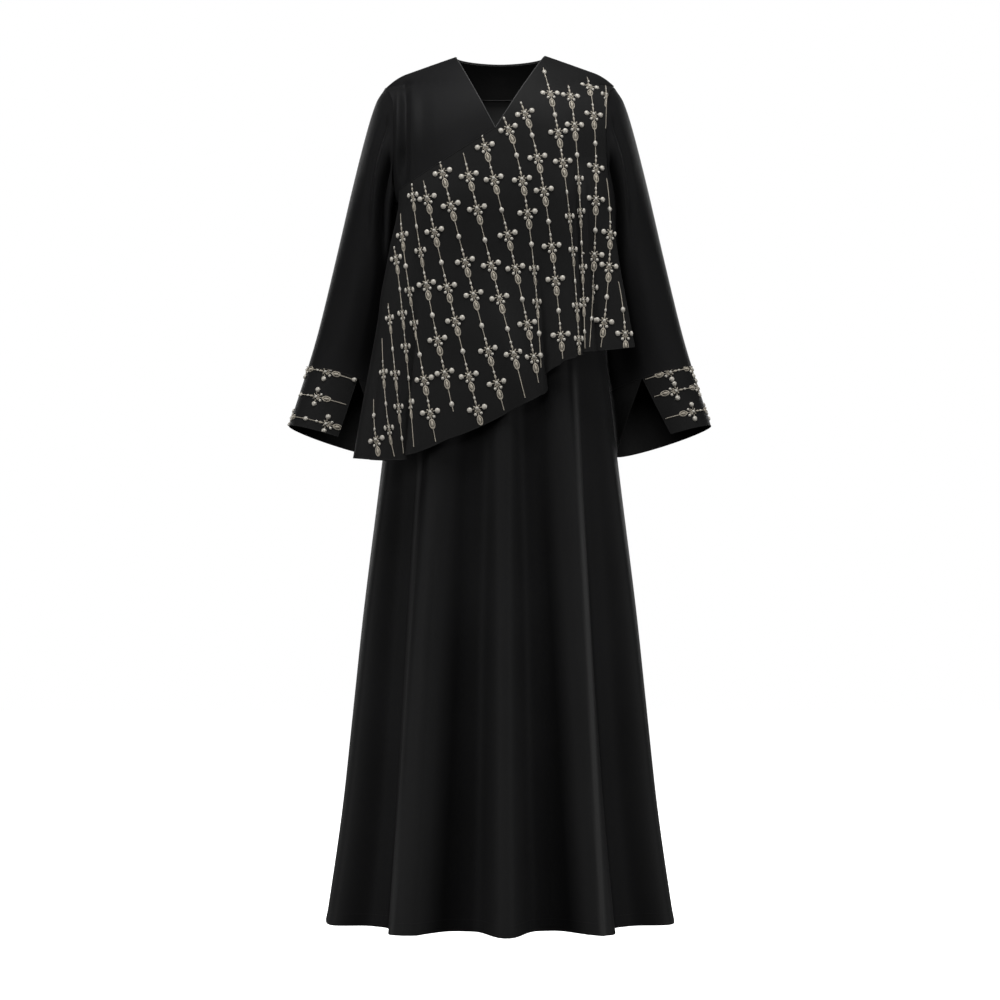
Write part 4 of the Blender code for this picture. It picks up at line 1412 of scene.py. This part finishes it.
def rolled_edges(sheets):
    """The fine rolled edges of the neck, the overlay, the facing and the cuffs, by piece."""
    front = sheets["front_panel"].grid
    back = sheets["back_panel"].grid
    facing = sheets["back_neck_facing"].grid
    overlay = sheets["overlay_panel"].grid
    v_end = int((overlay[-1, :, 0] <= NECK_HALF).sum())
    arm_end = int((overlay[:, -1, 2] <= -OVERLAY_LEFT[0].drop).sum())
    edges = {
        "front_panel": [edge_line(front, np.s_[-1, inside_neck(front)])],
        "back_panel": [edge_line(back, np.s_[-1, inside_neck(back)])],
        "overlay_panel": [
            edge_line(overlay, np.s_[-1, : OVERLAY_RIGHT_COLUMNS + 1]),
            edge_line(overlay, np.s_[:, 0]),
            edge_line(overlay, np.s_[0, :]),
            edge_line(overlay, np.s_[:arm_end, -1]),
        ],
        "overlay_v": [edge_line(overlay, np.s_[-1, OVERLAY_RIGHT_COLUMNS:v_end])],
        "back_neck_facing": [edge_line(facing, np.s_[0, :], -FACING_WALL)],
    }
    for side in (-1, 1):
        name = side_name("cuff", side)
        parts = (np.s_[0, :], np.s_[:, 0], np.s_[-1, :], np.s_[:, -1])
        edges[name] = [edge_line(sheets[name].grid, part) for part in parts]
    pieces = {}
    for node, paths in edges.items():
        # The neck, V and facing edges take the paler cloth: a painted highlight
        cloth = PAINTED_HIGHLIGHT_EDGE_CLOTH if node in PAINTED_HIGHLIGHT_EDGES else OVERLAY_CREPE
        pieces[node] = swept(node + "_rolled_edge", paths, EDGE_RADIUS, cloth)
    return pieces


def hem_stitching(sheets):
    """Rows of small stitches above the hem, by piece."""
    pieces = {}
    for node in ("front_panel", "back_panel"):
        line = edge_line(sheets[node].grid, np.s_[HEM_STITCH_ROW, :], 0.0)
        row = stitched_row(line, sheets[node].tree)
        pieces[node] = gather(row, node + "_hem_stitches", STITCH)
    return pieces


def white_room():
    """A white room that the camera sees in full, and that lights the cloth only a little."""
    world = bpy.data.worlds.new("white_room")
    bpy.context.scene.world = world
    world.use_nodes = True
    tree = world.node_tree
    backdrop = tree.nodes["Background"]
    backdrop.inputs["Color"].default_value = WHITE
    backdrop.inputs["Strength"].default_value = 1.0
    fill = tree.nodes.new("ShaderNodeBackground")
    fill.inputs["Color"].default_value = WHITE
    fill.inputs["Strength"].default_value = ROOM_FILL
    seen = tree.nodes.new("ShaderNodeLightPath")
    mix = tree.nodes.new("ShaderNodeMixShader")
    tree.links.new(seen.outputs["Is Camera Ray"], mix.inputs["Fac"])
    tree.links.new(fill.outputs["Background"], mix.inputs[1])
    tree.links.new(backdrop.outputs["Background"], mix.inputs[2])
    tree.links.new(mix.outputs["Shader"], tree.nodes["World Output"].inputs["Surface"])


def softbox(lamp):
    """One soft light, turned to the height of the abaya that it lights."""
    light = bpy.data.lights.new(lamp.name, "AREA")
    light.energy = lamp.power
    light.shape = "RECTANGLE"
    light.size = lamp.width
    light.size_y = lamp.height
    holder = bpy.data.objects.new(lamp.name, light)
    bpy.context.collection.objects.link(holder)
    holder.location = (lamp.x, lamp.y, lamp.z)
    aim = Vector((0.0, 0.0, lamp.aim_z)) - holder.location
    holder.rotation_euler = aim.to_track_quat("-Z", "Y").to_euler()


def pale_floor():
    """A pale floor well below the hem, which throws no light on the cloth."""
    clear_selection()
    bpy.ops.mesh.primitive_plane_add(size=FLOOR_SIZE, location=(0.0, 0.0, FLOOR_Z))
    floor = bpy.context.object
    floor.name = "floor"
    bpy.ops.object.transform_apply(location=True, rotation=True, scale=True)
    pale = bpy.data.materials.new("pale_floor")
    pale.use_nodes = True
    shader = pale.node_tree.nodes["Principled BSDF"]
    shader.inputs["Base Color"].default_value = FLOOR_WHITE
    shader.inputs["Roughness"].default_value = 0.9
    shader.inputs["Emission Color"].default_value = WHITE
    shader.inputs["Emission Strength"].default_value = FLOOR_GLOW
    floor.data.materials.append(pale)
    floor.visible_diffuse = False
    floor.visible_glossy = False


def photo_camera():
    """The camera, level and at the photograph's distance."""
    camera_data = bpy.data.cameras.new("camera")
    camera_data.lens = CAMERA_LENS
    camera_data.sensor_width = CAMERA_SENSOR
    camera_data.sensor_fit = "HORIZONTAL"
    camera = bpy.data.objects.new("camera", camera_data)
    bpy.context.collection.objects.link(camera)
    camera.location = (0.0, -CAMERA_AWAY, CAMERA_Z)
    camera.rotation_euler = (math.pi / 2, 0.0, 0.0)
    bpy.context.scene.camera = camera
    bpy.context.scene.view_settings.view_transform = "Standard"


white_room()
for lamp in LAMPS:
    softbox(lamp)
pale_floor()
photo_camera()

sheets = dress_cloth()
for cut in CUTS:
    piece = finish(sheets[cut.node].piece)
    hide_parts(cut.node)

motif = sprig_motif()
trims = {cut.node: [] for cut in CUTS}
overlay = sheets["overlay_panel"].tree
chains = [overlay_chain(chain, overlay) for chain in OVERLAY_CHAINS]
trims["overlay_panel"] += embroider("overlay", chains, overlay, motif)
for side in (-1, 1):
    name = side_name("cuff", side)
    cuff = sheets[name].tree
    rows = [cuff_chain(row, cuff) for row in CUFF_ROWS_OF_SPRIGS if row.side == side]
    trims[name] += embroider(name, rows, cuff, motif)
for pieces_of_work in trims.values():
    for piece in pieces_of_work:
        finish(piece)
for made in (rolled_edges(sheets), hem_stitching(sheets)):
    for name, piece in made.items():
        node = "overlay_panel" if name == "overlay_v" else name
        trims[node].append(finish(piece))

for cut in CUTS:
    piece = sheets[cut.node].piece
